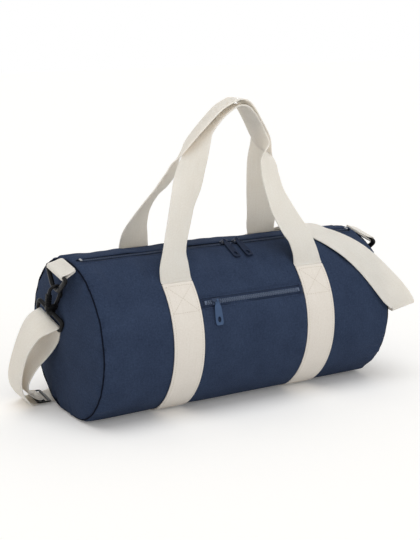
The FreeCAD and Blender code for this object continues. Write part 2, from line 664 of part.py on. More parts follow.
# Long run from the adjuster along the floor, up the rear and over the right shoulder
start = strap_rows(STRAP_OUTER_SHARES)[-1]
start_turn = -math.degrees(math.atan2(start[1], start[2] - AXIS_HEIGHT))
start_lift = (math.hypot(start[1], start[2] - AXIS_HEIGHT) - BARREL_RADIUS) / STRAP_LIFT
start_row = ((start[0] + STRAP_JOIN) / BARREL_LENGTH, start_turn, start_lift, 1)
centres = []
flats = []
for share, turn, lift, flat in smooth([start_row] + STRAP_REAR_SHARES, ROUTE_STEPS):
    angle = math.radians(turn)
    radius = BARREL_RADIUS + lift * STRAP_LIFT
    y = -radius * math.sin(angle)
    centres.append(FreeCAD.Vector(share * BARREL_LENGTH, y, AXIS_HEIGHT + radius * math.cos(angle)))
    flats.append(flat)
widths = []
flat_way = FreeCAD.Vector(*start[3:])
for i, centre in enumerate(centres):
    heading = centres[min(i + 1, len(centres) - 1)] - centres[max(i - 1, 0)]
    heading.normalize()
    radial = FreeCAD.Vector(0, centre.y, centre.z - AXIS_HEIGHT)
    radial.normalize()
    width = heading.cross(radial)
    widths.append(width * (1 - flats[i]) + flat_way * flats[i])
save("strap_long_run", ribbon(centres, widths, [WEB_WIDTH] * len(centres)))

# Right end: a turn below the shoulder, then up to the base's bar, over it and back for the sewn end
turn = over_bar("right", 90, -90)
up = strap_rows(STRAP_END_SHARES) + turn[:1]
centre, drop, across, right = strap_bars["right"]
arm = BASE_BAR_RADIUS + CLEAR + WEB_THICK / 2
sewn = tuple(centre - right * arm + drop * STRAP_RETURN) + turn[-1][3:]
save("strap_right_end", strap(up, turn, [turn[-1], sewn]))

# Strap adjuster on the floor: a frame with a middle bar between the strap's two layers
sewn = strap_rows(STRAP_INNER_SHARES)[0]
run = strap_rows(STRAP_OUTER_SHARES)[-2]
across = FreeCAD.Vector(*sewn[3:])
across.normalize()
ways = (FreeCAD.Vector(across.y, -across.x, 0), across, Z_AXIS)
middle = FreeCAD.Vector(sewn[0], sewn[1], run[2] + WEB_THICK / 2 + CLEAR)
half = GLIDE_LENGTH / 2
glide = frame_box(middle, ways, (-half, -GLIDE_HALF, 0), (half, GLIDE_HALF, GLIDE_THICK))
slot_half = WEB_WIDTH / 2 + GLIDE_BAR / 2
for near, far in ((-GLIDE_BAR / 2 - GLIDE_SLOT, -GLIDE_BAR / 2), (GLIDE_BAR / 2, GLIDE_BAR / 2 + GLIDE_SLOT)):
    glide = glide.cut(frame_box(middle, ways, (near, -slot_half, 0), (far, slot_half, GLIDE_THICK)))
save("strap_adjuster", glide)
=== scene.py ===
import math

import bmesh
import bpy
from mathutils import Matrix, Vector, noise


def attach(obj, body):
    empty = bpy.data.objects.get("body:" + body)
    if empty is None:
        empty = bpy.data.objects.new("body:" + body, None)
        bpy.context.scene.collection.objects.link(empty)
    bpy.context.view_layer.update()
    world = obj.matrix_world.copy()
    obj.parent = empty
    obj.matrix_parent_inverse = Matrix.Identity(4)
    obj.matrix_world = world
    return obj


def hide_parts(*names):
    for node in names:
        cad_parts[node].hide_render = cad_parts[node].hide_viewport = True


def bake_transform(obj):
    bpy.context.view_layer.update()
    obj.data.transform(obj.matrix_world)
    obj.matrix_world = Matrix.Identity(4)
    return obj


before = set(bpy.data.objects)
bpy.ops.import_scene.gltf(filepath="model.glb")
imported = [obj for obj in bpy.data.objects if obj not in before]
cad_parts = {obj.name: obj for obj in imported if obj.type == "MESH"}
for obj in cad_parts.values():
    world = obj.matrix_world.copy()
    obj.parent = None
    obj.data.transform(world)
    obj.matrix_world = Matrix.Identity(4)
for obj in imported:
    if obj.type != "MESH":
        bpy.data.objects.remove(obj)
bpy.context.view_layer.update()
scene = bpy.context.scene

# Barrel cloth: a navy canvas tube cut as a front and a rear half, folded under along the zip.
# The halves are sewn to the round ends, where they gather a little, and they rest flat on the floor.
BARREL_HALF = 0.250
BARREL_RADIUS = 0.124
AXIS_HEIGHT = 0.114
ROLL = 11.0
CLOTH_THICK = 0.0014
FLOOR_ROUND = 0.0035
ZIP_FOLD = 3.35
ZIP_SHUT = 0.245
ZIP_CLOSING = 0.006
ZIP_LEAST = 0.04
FRONT_FOOT = 169.0
REAR_FOOT = -191.0
BAND_X = 0.116
BAND_HOLD = 0.034
BAND_PRESS = 0.0006
BAND_BED = 0.0022
BAND_BED_HALF = 0.030
SEAM_STEPS = [0.0003, 0.0010, 0.0020, 0.0034, 0.0054, 0.0080, 0.0115]
MIDDLE_START = -0.234
MIDDLE_STEP = 0.0052
MIDDLE_COUNT = 91
SEAM_DIP = 0.0046
SEAM_DIP_RUN = 0.0014
SEAM_SLOPE = 0.0014
SEAM_SLOPE_RUN = 0.008
GATHER_LIFT = 0.0018
LEFT_GATHER = (4.3, 0.0090)
RIGHT_GATHER = (9.1, 0.0050)
PUCKER_REACH = 0.012
PUCKER_START = 0.003
CREASE_DEPTH = 0.0060
CREASE_SHARP = 5
FOLD_LIFT = 0.0030
FOLD_REACH = 0.060
FOLD_START = 0.010
SAG_LIFT = 0.0022
RIPPLE_FRONT = 0.0075
RIPPLE_REAR = 0.0015
RIPPLE_TURN = 25
RIPPLE_SPREAD = 13
RIPPLE_ALONG = 46
RIPPLE_SLANT = 0.016
SAG_ALONG = 11
# Noise of each move: its steps in a degree of turn, and its layer
CREASE_NOISE = (0.085, 8.3)
GATHER_NOISE = (0.24, 0.4)
PUCKER_NOISE = (0.15, 3.9)
FOLD_NOISE = (0.055, 7.7)
SAG_NOISE = (0.022, 2.2)
RIPPLE_NOISE = (0.012, 5.1)
NAVY_TONES = ((0.0190, 0.0295, 0.0600, 1.0), (0.0440, 0.0655, 0.1210, 1.0))


def barrel_point(x, turn, lift=0.0, floor=0.0):
    angle = math.radians(ROLL + turn)
    radius = BARREL_RADIUS + lift
    rise = AXIS_HEIGHT + radius * math.cos(angle) - floor
    rest = FLOOR_ROUND * math.log1p(math.exp(rise / FLOOR_ROUND))
    return Vector((x, -radius * math.sin(angle), floor + rest))


def wander(seed, turn, rate, layer):
    return noise.noise(Vector((seed, turn * rate, layer)))


def seam_crease(seed, turn):
    return max(0, 1 - CREASE_SHARP * abs(wander(seed, turn, *CREASE_NOISE))) ** 2


def beside_seam(edge):
    return math.exp(-edge / PUCKER_REACH) * (1 - math.exp(-edge / PUCKER_START))


def cloth_lift(x, turn):
    edge = BARREL_HALF - abs(x)
    seed, pucker_lift = LEFT_GATHER if x < 0 else RIGHT_GATHER
    held = math.exp(-(((abs(x) - BAND_X) / BAND_HOLD) ** 6))
    slope = math.exp(-edge / SEAM_SLOPE_RUN)
    lift = -SEAM_DIP * math.exp(-edge / SEAM_DIP_RUN) - SEAM_SLOPE * slope
    lift += GATHER_LIFT * slope * wander(seed, turn, *GATHER_NOISE)
    pucker = pucker_lift * wander(seed, turn, *PUCKER_NOISE)
    lift += (pucker - CREASE_DEPTH * seam_crease(seed, turn)) * beside_seam(edge)
    fold = math.exp(-edge / FOLD_REACH) * (1 - math.exp(-edge / FOLD_START))
    lift += FOLD_LIFT * fold * wander(seed, turn, *FOLD_NOISE)
    lift += SAG_LIFT * (1 - held) * wander(x * SAG_ALONG, turn, *SAG_NOISE)
    ripple = RIPPLE_FRONT if turn > 0 else RIPPLE_REAR
    ripple *= math.exp(-((abs(turn) - RIPPLE_TURN) / RIPPLE_SPREAD) ** 2)
    lift += ripple * (1 - held) * wander(x * RIPPLE_ALONG + turn * RIPPLE_SLANT, turn, *RIPPLE_NOISE)
    return lift - BAND_PRESS * held


def cloth_grid(columns, rows, spot, lay):
    mesh = bmesh.new()
    weave = mesh.loops.layers.uv.new("weave")
    bmesh.ops.create_grid(mesh, x_segments=columns, y_segments=rows, size=0.5)
    for face in mesh.faces:
        for loop in face.loops:
            loop[weave].uv = lay(loop.vert.co.x + 0.5, loop.vert.co.y + 0.5)
    for vert in mesh.verts:
        vert.co = spot(vert.co.x + 0.5, vert.co.y + 0.5)
    return mesh


def add_piece(name, mesh, material):
    data = bpy.data.meshes.new(name)
    mesh.to_mesh(data)
    mesh.free()
    data.shade_smooth()
    data.materials.append(material)
    piece = bpy.data.objects.new(name, data)
    scene.collection.objects.link(piece)
    return piece


def subdivide(piece):
    finer = piece.modifiers.new("finer", "SUBSURF")
    finer.levels = 1
    finer.render_levels = 1


def thicken(piece, thick, offset=-1.0):
    wall = piece.modifiers.new("thickness", "SOLIDIFY")
    wall.thickness = thick
    wall.offset = offset


# Woven surface: threads that cross over and under each other, in yarn of uneven tone.
# Every cloth, tape, webbing and thread of the bag has it, each with its own counts and slant.
WARP_RIB = 0.30
WEFT_RIB = 0.20
TONE_MIDDLE = 0.53
YARN_ACROSS = 0.55
YARN_ALONG = 0.06
YARN_TONE = 0.55
CLOUD_SCALE = 26.0
CLOUD_TONE = 0.60
RIB_TONE = 0.50
SLUB_SCALE = 380.0
SLUB_TONE = 0.90
WEAVE_RELIEF = 0.55
GLOW_REACH = 0.008
GLOW_TINT = (1.0, 0.97, 0.93)
threads = bpy.data.node_groups.new("woven_threads", "ShaderNodeTree")
for socket in ("Across", "Along", "Slant"):
    threads.interface.new_socket(socket, in_out="INPUT", socket_type="NodeSocketFloat")
for socket in ("Height", "Tone"):
    threads.interface.new_socket(socket, in_out="OUTPUT", socket_type="NodeSocketFloat")


def math_node(tree, operation, first, second=None):
    node = tree.nodes.new("ShaderNodeMath")
    node.operation = operation
    for socket, value in zip(node.inputs, (first, second)):
        if isinstance(value, (int, float)):
            socket.default_value = value
        elif value is not None:
            tree.links.new(value, socket)
    return node.outputs[0]


def set_sockets(node, values):
    for socket, value in values.items():
        node.inputs[socket].default_value = value


def noise_node(tree, vector, scale, detail):
    node = tree.nodes.new("ShaderNodeTexNoise")
    set_sockets(node, {"Scale": scale, "Detail": detail})
    tree.links.new(vector, node.inputs["Vector"])
    return node.outputs["Fac"]


group_in = threads.nodes.new("NodeGroupInput")
group_out = threads.nodes.new("NodeGroupOutput")
cloth_map = threads.nodes.new("ShaderNodeUVMap")
cloth_map.uv_map = "weave"
split_map = threads.nodes.new("ShaderNodeSeparateXYZ")
threads.links.new(cloth_map.outputs["UV"], split_map.inputs[0])
along = math_node(threads, "MULTIPLY", split_map.outputs["Y"], group_in.outputs["Along"])
slant = math_node(threads, "MULTIPLY", along, group_in.outputs["Slant"])
across = math_node(threads, "MULTIPLY", split_map.outputs["X"], group_in.outputs["Across"])
twill = math_node(threads, "ADD", across, slant)
warp = math_node(threads, "SINE", math_node(threads, "MULTIPLY", twill, math.tau))
weft = math_node(threads, "SINE", math_node(threads, "MULTIPLY", along, math.tau))
warp_ribs = math_node(threads, "MULTIPLY", warp, WARP_RIB)
weft_ribs = math_node(threads, "MULTIPLY", weft, WEFT_RIB)
ribs = math_node(threads, "ADD", warp_ribs, weft_ribs)
yarn_map = threads.nodes.new("ShaderNodeCombineXYZ")
threads.links.new(math_node(threads, "MULTIPLY", across, YARN_ACROSS), yarn_map.inputs[0])
threads.links.new(math_node(threads, "MULTIPLY", along, YARN_ALONG), yarn_map.inputs[1])
yarn = noise_node(threads, yarn_map.outputs[0], 1.0, 2.0)
cloud = noise_node(threads, cloth_map.outputs["UV"], CLOUD_SCALE, 3.0)
slub = noise_node(threads, cloth_map.outputs["UV"], SLUB_SCALE, 1.0)
threads.links.new(math_node(threads, "ADD", ribs, yarn), group_out.inputs["Height"])
tone = math_node(threads, "MULTIPLY", yarn, YARN_TONE)
for part, share in ((cloud, CLOUD_TONE), (ribs, RIB_TONE), (slub, SLUB_TONE)):
    tone = math_node(threads, "ADD", tone, math_node(threads, "MULTIPLY", part, share))
threads.links.new(math_node(threads, "SUBTRACT", tone, TONE_MIDDLE), group_out.inputs["Tone"])


def new_surface(name):
    material = bpy.data.materials.new(name)
    material.use_nodes = True
    return material, material.node_tree, material.node_tree.nodes["Principled BSDF"]


def tint_and_emboss(tree, shade, light, tone, height, strength, depth):
    surface = tree.nodes["Principled BSDF"]
    colour = tree.nodes.new("ShaderNodeMix")
    colour.data_type = "RGBA"
    set_sockets(colour, {"A": shade, "B": light})
    tree.links.new(tone, colour.inputs["Factor"])
    tree.links.new(colour.outputs["Result"], surface.inputs["Base Color"])
    relief = tree.nodes.new("ShaderNodeBump")
    set_sockets(relief, {"Strength": strength, "Distance": depth})
    tree.links.new(height, relief.inputs["Height"])
    tree.links.new(relief.outputs["Normal"], surface.inputs["Normal"])


def woven(name, shade, light, across, along, slant, depth, sheen, glow=0.0):
    material, tree, surface = new_surface(name)
    set_sockets(surface, {"Roughness": 0.86, "Specular IOR Level": 0.05})
    set_sockets(surface, {"Sheen Weight": sheen, "Sheen Roughness": 0.45})
    set_sockets(surface, {"Subsurface Weight": glow, "Subsurface Scale": GLOW_REACH})
    set_sockets(surface, {"Subsurface Radius": GLOW_TINT})
    weave = tree.nodes.new("ShaderNodeGroup")
    weave.node_tree = threads
    set_sockets(weave, {"Across": across, "Along": along, "Slant": slant})
    tone, height = weave.outputs["Tone"], weave.outputs["Height"]
    tint_and_emboss(tree, shade, light, tone, height, WEAVE_RELIEF, depth)
    return material


navy_canvas = woven("navy_canvas", *NAVY_TONES, across=1250, along=1250, slant=0.0, depth=0.00022, sheen=0.01)

MOUTH_LEFT = MIDDLE_START + 16 * MIDDLE_STEP
MOUTH_RIGHT = MIDDLE_START + 58 * MIDDLE_STEP
MOUTH_PARTS = {
    "left": (-BARREL_HALF, MOUTH_LEFT),
    "centre": (MOUTH_LEFT, MOUTH_RIGHT),
    "right": (MOUTH_RIGHT, BARREL_HALF),
}
MOUTH_TAPER = 0.030
LIP_FOLD_LOW = 38.0
LIP_FOLD_HIGH = 14.0


def fold_with_mouth(piece, lip, part):
    side = 1 if lip == "front_lip" else -1
    start = barrel_point(0, side * LIP_FOLD_LOW)
    run = barrel_point(0, side * LIP_FOLD_HIGH) - start
    slope = run / run.length_squared
    if part == "left":
        start.x = MOUTH_LEFT
        slope.x = 1 / MOUTH_TAPER
    if part == "right":
        start.x = MOUTH_RIGHT
        slope.x = -1 / MOUTH_TAPER
    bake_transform(piece)


seam_columns = [BARREL_HALF - step for step in SEAM_STEPS]
columns = [-x for x in seam_columns]
columns += [MIDDLE_START + MIDDLE_STEP * k for k in range(MIDDLE_COUNT)]
columns += list(reversed(seam_columns))


def cloth_half(turn_low, turn_high, rows):
    def spot(u, v):
        x = columns[round(u * (len(columns) - 1))]
        shut = min(1.0, max(ZIP_LEAST, (ZIP_SHUT - abs(x)) / ZIP_CLOSING))
        fold_low = turn_low * shut if abs(turn_low) < 90 else turn_low
        fold_high = turn_high * shut if abs(turn_high) < 90 else turn_high
        turn = fold_low + (fold_high - fold_low) * v
        bed = BAND_BED * math.exp(-(((abs(x) - BAND_X) / BAND_BED_HALF) ** 8))
        return barrel_point(x, turn, cloth_lift(x, turn), bed)

    def lay(u, v):
        arc = math.radians(turn_high - turn_low) * BARREL_RADIUS
        return columns[round(u * (len(columns) - 1))], arc * v

    return cloth_grid(len(columns) - 1, rows, spot, lay)


for half, turn_low, turn_high, rows in (
    ("front", FRONT_FOOT, ZIP_FOLD, 120),
    ("rear", -ZIP_FOLD, REAR_FOOT, 132),
):
    shell = cloth_half(turn_low, turn_high, rows)
    for part, (x_low, x_high) in MOUTH_PARTS.items():
        panel = shell.copy()
        for x, way in ((x_low, -1), (x_high, 1)):
            geometry = panel.verts[:] + panel.edges[:] + panel.faces[:]
            cut = {"plane_co": (x, 0, 0), "plane_no": (way, 0, 0), "clear_outer": True}
            bmesh.ops.bisect_plane(panel, geom=geometry, **cut)
        piece = add_piece(f"{half}_cloth_{part}", panel, navy_canvas)
        fold_with_mouth(piece, f"{half}_lip", part)
        subdivide(piece)
        thicken(piece, CLOTH_THICK)
        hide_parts("barrel_wrap")
        if part == "centre":
            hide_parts(f"{half}_lip")
    shell.free()

# Round ends: a navy canvas disc each, sewn into the barrel's rim and bulged a little by the filling.
# A folded tape binds the raw edges of each seam on the inside.
ENDS = (("left", -1), ("right", 1))
END_BULGE = 0.0120
END_RIM = 0.0035
END_PROUD = 0.0022
END_SEED = 6.2
END_PUCKER = 0.0090
END_SWELL = 0.0030
END_NOISE = (0.14, 1.3)
SWELL_RATE = (2.4, 2.2, 2)
RIM_CROWD = 0.35
DISC_GRID = (160, 30)
RIM_DIP = 0.0030
RIM_DIP_RUN = 0.0016
RIM_SLOPE = 0.0026
RIM_SLOPE_RUN = 0.010
SAME_POINT = 0.00002
LENGTHWAYS = Vector((1, 0, 0))


def end_gather(side, turn):
    return wander(side * END_SEED, turn, *END_NOISE)


def end_disc(side):
    def spot(u, v):
        turn = side * 360 * u
        angle = math.radians(turn)
        reach = v * v * (3 - 2 * v) * RIM_CROWD + v * (1 - RIM_CROWD)
        rim = (1 - reach) * BARREL_RADIUS
        bulge = END_BULGE * (1 - reach * reach)
        pucker = END_PUCKER * end_gather(side, turn)
        bulge += (pucker - CREASE_DEPTH * seam_crease(side * END_SEED, turn)) * beside_seam(rim)
        apart, wide, high = SWELL_RATE
        swell = Vector((side * apart, reach * wide * math.cos(angle), reach * high * math.sin(angle)))
        bulge += END_SWELL * noise.noise(swell) * (1 - reach ** 4)
        bulge -= RIM_DIP * math.exp(-rim / RIM_DIP_RUN) + RIM_SLOPE * math.exp(-rim / RIM_SLOPE_RUN)
        point = barrel_point(0, turn, reach * BARREL_RADIUS - BARREL_RADIUS - END_RIM * reach)
        point.x = side * (BARREL_HALF + END_PROUD + bulge)
        return point

    def lay(u, v):
        turn = math.radians(360 * u)
        return v * BARREL_RADIUS * math.cos(turn), v * BARREL_RADIUS * math.sin(turn)

    disc = cloth_grid(*DISC_GRID, spot, lay)
    bmesh.ops.remove_doubles(disc, verts=disc.verts[:], dist=SAME_POINT)
    bmesh.ops.recalc_face_normals(disc, faces=disc.faces[:])
    return disc


def sweep(mesh, rows, ring, closed=False):
    loops = []
    for centre, side, rise in rows:
        verts = [mesh.verts.new(centre + side * a + rise * b) for a, b in ring]
        loops.append([mesh.edges.new((verts[k - 1], verts[k])) for k in range(len(verts))])
    pairs = list(zip(loops, loops[1:]))
    if closed:
        pairs.append((loops[-1], loops[0]))
    for near, far in pairs:
        bmesh.ops.bridge_loops(mesh, edges=near + far)
    if not closed:
        for cap in (loops[0], loops[-1]):
            bmesh.ops.contextual_create(mesh, geom=cap)
    bmesh.ops.recalc_face_normals(mesh, faces=mesh.faces[:])


def oval(wide, high, count):
    turns = [math.tau * k / count for k in range(count)]
    return [(wide * math.cos(turn), high * math.sin(turn)) for turn in turns]


def ring_of(radius, count):
    return oval(radius, radius, count)


def path_rows(points, normal, closed=False):
    rows = []
    last = len(points) - 1
    for k, point in enumerate(points):
        ahead = points[(k + 1) % len(points)] if closed else points[min(k + 1, last)]
        behind = points[k - 1] if closed else points[max(k - 1, 0)]
        rows.append((point, normal, (ahead - behind).normalized().cross(normal)))
    return rows


def fasten(piece, slot, body, *nodes):
    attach(piece, body)
    for node in nodes:
        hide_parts(node)


def trim(name, mesh, material, slot, body, *nodes):
    fasten(add_piece(name, mesh, material), slot, body, *nodes)


def thread_mesh():
    mesh = bmesh.new()
    mesh.loops.layers.uv.new("weave")
    return mesh


SEAM_TURNS = 240
SEAM_RADIUS = 0.0011
SEAM_SET_IN = 0.0003
SEAM_WANDER = 0.0008
SEAM_SUNK = -0.0042
SEAM_OFF_FLOOR = 0.0010
# Seam thread tones: near black, much darker than the navy cloth, a real seam thread painted as the shadow in
# the seam's groove
SEAM_SHADOW_TONES = ((0.0030, 0.0045, 0.0105, 1.0), (0.0060, 0.0090, 0.0200, 1.0))
seam_thread = woven("seam_thread", *SEAM_SHADOW_TONES, across=900, along=900, slant=1.0, depth=0.0001, sheen=0.0)
BINDING_THICK = 0.0005
BINDING_SET_IN = 0.0036
BINDING_HALF = 0.0012
BINDING_EDGE = -0.0052
BINDING_WIDE = 0.0078
BINDING_OFF_FLOOR = 0.0030
BINDING_ROUND = 0.6
BINDING_GRID = (90, 8)
BINDING_FLAT = (0.75, 0.016)
BINDING_TONES = ((0.012, 0.018, 0.040, 1.0), (0.022, 0.034, 0.072, 1.0))
binding_tape = woven(
    "binding_tape", *BINDING_TONES, across=1600, along=900, slant=0.0, depth=0.00015, sheen=0.1
)
for end, side in ENDS:
    piece = add_piece(f"{end}_end_cloth", end_disc(side), navy_canvas)
    subdivide(piece)
    thicken(piece, CLOTH_THICK)
    fasten(piece, "navy_cloth", "bag", f"{end}_end_panel")
    # A dark thread sunk in each seam's groove: partly the real seam thread, partly painted shadow of the
    # groove
    seam = thread_mesh()
    points = []
    for k in range(SEAM_TURNS):
        turn = 360 * k / SEAM_TURNS
        x = BARREL_HALF - SEAM_SET_IN + SEAM_WANDER * end_gather(side, turn)
        points.append(barrel_point(side * x, turn, SEAM_SUNK, SEAM_OFF_FLOOR))
    sweep(seam, path_rows(points, LENGTHWAYS, True), ring_of(SEAM_RADIUS, 8), True)
    trim(f"{end}_end_seam", seam, seam_thread, "navy_cloth", "bag")

    def binding_spot(u, v):
        bend = math.pi * v
        x = side * (BARREL_HALF - BINDING_SET_IN - BINDING_HALF * math.cos(bend))
        wide = BINDING_WIDE * math.sin(bend) ** BINDING_ROUND
        return barrel_point(x, 360 * u, BINDING_EDGE - wide, BINDING_OFF_FLOOR + wide)

    around, wide = BINDING_FLAT
    binding = cloth_grid(*BINDING_GRID, binding_spot, lambda u, v: (wide * v, around * u))
    bmesh.ops.remove_doubles(binding, verts=binding.verts[:], dist=SAME_POINT)
    piece = add_piece(f"{end}_binding", binding, binding_tape)
    thicken(piece, BINDING_THICK, 0)
    fasten(piece, "binding_tape", "bag", f"{end}_seam_binding")

# Webbing bands: cream cotton twill tape sewn round the barrel along both edges.
# Each carries on upwards as the handles.
WEB_WIDTH = 0.050
WEB_THICK = 0.0019
WEB_LIFT = 0.0003
MID_WEB = WEB_LIFT + WEB_THICK / 2
WEB_EDGE = 0.0005
BAND_TURN = 34.6
BAND_LENGTH = 0.64
BAND_SINK = 0.0001
BAND_GRID = (8, 140)
SHARP_EDGE = math.radians(40)
CREAM_TONES = ((0.745, 0.693, 0.628, 1.0), (0.840, 0.798, 0.742, 1.0))
cream_webbing = woven(
    "cream_webbing", *CREAM_TONES, across=640, along=520, slant=1.0, depth=0.0003, sheen=0.02
)


def round_edges(piece, width):
    edges = piece.modifiers.new("edges", "BEVEL")
    edges.width = width
    edges.segments = 2
    edges.limit_method = "ANGLE"
    edges.angle_limit = SHARP_EDGE
    edges.harden_normals = True


for end, side in ENDS:

    def band_spot(u, v):
        x = side * BAND_X + (u - 0.5) * WEB_WIDTH
        turn = (360 - BAND_TURN) + (2 * BAND_TURN - 360) * v
        return barrel_point(x, turn, MID_WEB, WEB_THICK / 2 - BAND_SINK)

    band = cloth_grid(*BAND_GRID, band_spot, lambda u, v: (WEB_WIDTH * u, BAND_LENGTH * v))
    piece = add_piece(f"{end}_band_webbing", band, cream_webbing)
    thicken(piece, WEB_THICK, 0)
    round_edges(piece, WEB_EDGE)
    fasten(piece, "cream_webbing", "bag", f"{end}_band")

# Sewing: cotton thread in short lock stitches, lying proud of the webbing and the cloth.
# A crossed box holds each foot of the handles, and a row runs along each edge of the bands.
STITCH = 0.0036
STITCH_GAP = 0.12
THREAD = 0.00042
# Cream thread tones: darker than the webbing it lies on, a real cream thread with painted shade along the
# stitch lines
COTTON_PAINTED_SHADE_TONES = ((0.56, 0.51, 0.44, 1.0), (0.74, 0.68, 0.60, 1.0))
cream_thread = woven("cream_thread", *COTTON_PAINTED_SHADE_TONES, across=900, along=900, slant=1.0, depth=0.0001, sheen=0.1)
NAVY_THREAD_TONES = ((0.014, 0.022, 0.050, 1.0), (0.030, 0.048, 0.105, 1.0))
navy_thread = woven(
    "navy_thread", *NAVY_THREAD_TONES, across=900, along=900, slant=1.0, depth=0.0001, sheen=0.1
)


def barrel_out(turn):
    angle = math.radians(ROLL + turn)
    return Vector((0, -math.sin(angle), math.cos(angle)))


def placed(x_way, y_way, z_way, origin):
    place = Matrix((x_way, y_way, z_way)).transposed().to_4x4()
    place.translation = origin
    return place


def sew(mesh, spot, length):
    count = max(1, round(length / STITCH))
    for k in range(count):
        near = spot((k + STITCH_GAP) / count)[0]
        far, out = spot((k + 1 - STITCH_GAP) / count)
        run = far - near
        side = run.cross(out).normalized()
        place = placed(side * THREAD, out * THREAD, run / 2, (near + far) / 2)
        bmesh.ops.create_uvsphere(mesh, u_segments=6, v_segments=4, radius=1.0, matrix=place)


def barrel_line(x0, turn0, x1, turn1, lift):
    def spot(t):
        turn = turn0 + (turn1 - turn0) * t
        return barrel_point(x0 + (x1 - x0) * t, turn, lift), barrel_out(turn)

    arc = math.radians(abs(turn1 - turn0)) * BARREL_RADIUS
    return spot, math.hypot(x1 - x0, arc)


def crossed_box(a0, b0, a1, b1):
    yield a0, b0, a1, b0
    yield a1, b0, a1, b1
    yield a1, b1, a0, b1
    yield a0, b1, a0, b0
    yield a0, b0, a1, b1
    yield a1, b0, a0, b1


BOX_TOP = 37.0
BOX_FOOT = 56.0
BOX_HALF = 0.0215
FRONT_ROW_FOOT = 128
REAR_ROW_FOOT = -150
for end, side in ENDS:
    seams = thread_mesh()
    top = WEB_LIFT + WEB_THICK
    x0 = side * BAND_X - BOX_HALF
    x1 = side * BAND_X + BOX_HALF
    for facing in (1, -1):
        for line in crossed_box(x0, facing * BOX_TOP, x1, facing * BOX_FOOT):
            sew(seams, *barrel_line(*line, top))
    for x in (x0, x1):
        sew(seams, *barrel_line(x, BOX_FOOT, x, FRONT_ROW_FOOT, top))
        sew(seams, *barrel_line(x, -BOX_FOOT, x, REAR_ROW_FOOT, top))
    trim(f"{end}_band_stitching", seams, cream_thread, "cream_webbing", "bag")

# Main zip: two woven tapes under the folded cloth, each with a row of moulded teeth, and end stops.
# The cloth beside it is topstitched along both folds.
ZIP_END = 0.238
TAPE_HALF = 0.015
TAPE_DROP = -0.0022
TOOTH_PITCH = 0.0030
TOOTH_LONG = 0.0015
TOOTH_WIDE = 0.0034
TOOTH_HIGH = 0.0017
TOOTH_REACH = 0.0014
TOOTH_ROUND = 0.0003
TOOTH_LIFT = 0.0010
TAPE_EDGE = 0.0012
TAPE_THICK = 0.0007
TAPE_STEP = 0.005
TAPE_WIDE = 0.014
TAPE_ROWS = 4
FOLD_STITCH = 1.35
STITCH_LIFT = 0.0001
WEAR_SCALE = 90.0
GRAIN_RELIEF = 0.4
GLOSS_SPREAD = 0.18
TAPE_TONES = ((0.016, 0.025, 0.052, 1.0), (0.034, 0.051, 0.098, 1.0))
zip_tape = woven("zip_tape", *TAPE_TONES, across=1500, along=700, slant=0.5, depth=0.0002, sheen=0.1)


def arc_turn(length):
    return math.degrees(length / BARREL_RADIUS)


def seat(x, turn, lift):
    out = barrel_out(turn)
    return placed(LENGTHWAYS, out.cross(LENGTHWAYS), out, barrel_point(x, turn, lift))


def ease_edges(mesh, edges, width, steps):
    bmesh.ops.bevel(mesh, geom=edges, offset=width, affect="EDGES", segments=steps, profile=0.5, material=-1)


def moulded(name, colour, worn, roughness, grain, depth, specular=0.5):
    material, tree, surface = new_surface(name)
    set_sockets(surface, {"IOR": 1.48, "Specular IOR Level": specular})
    places = tree.nodes.new("ShaderNodeTexCoord")
    fine = noise_node(tree, places.outputs["Object"], grain, 3.0)
    broad = noise_node(tree, places.outputs["Object"], WEAR_SCALE, 2.0)
    tint_and_emboss(tree, colour, worn, broad, fine, GRAIN_RELIEF, depth)
    gloss = math_node(tree, "MULTIPLY", fine, GLOSS_SPREAD)
    gloss = math_node(tree, "ADD", gloss, roughness - GLOSS_SPREAD / 2)
    tree.links.new(gloss, surface.inputs["Roughness"])
    return material


TOOTH_TONES = ((0.032, 0.048, 0.090, 1.0), (0.054, 0.076, 0.132, 1.0))
tooth_plastic = moulded(
    "tooth_plastic", *TOOTH_TONES, roughness=0.50, grain=900.0, depth=0.0001, specular=0.12
)


def teeth_row(mesh, side, x_low, x_high, turn, lift, shift):
    first = math.ceil((x_low - shift) / TOOTH_PITCH)
    last = math.floor((x_high - shift) / TOOTH_PITCH)
    shape = Matrix.Diagonal((TOOTH_LONG, TOOTH_WIDE, TOOTH_HIGH, 1))
    for k in range(first, last + 1):
        place = seat(k * TOOTH_PITCH + shift, turn + side * arc_turn(TOOTH_REACH), lift)
        bmesh.ops.create_cube(mesh, size=1.0, matrix=place @ shape)
    ease_edges(mesh, mesh.edges[:], TOOTH_ROUND, 1)


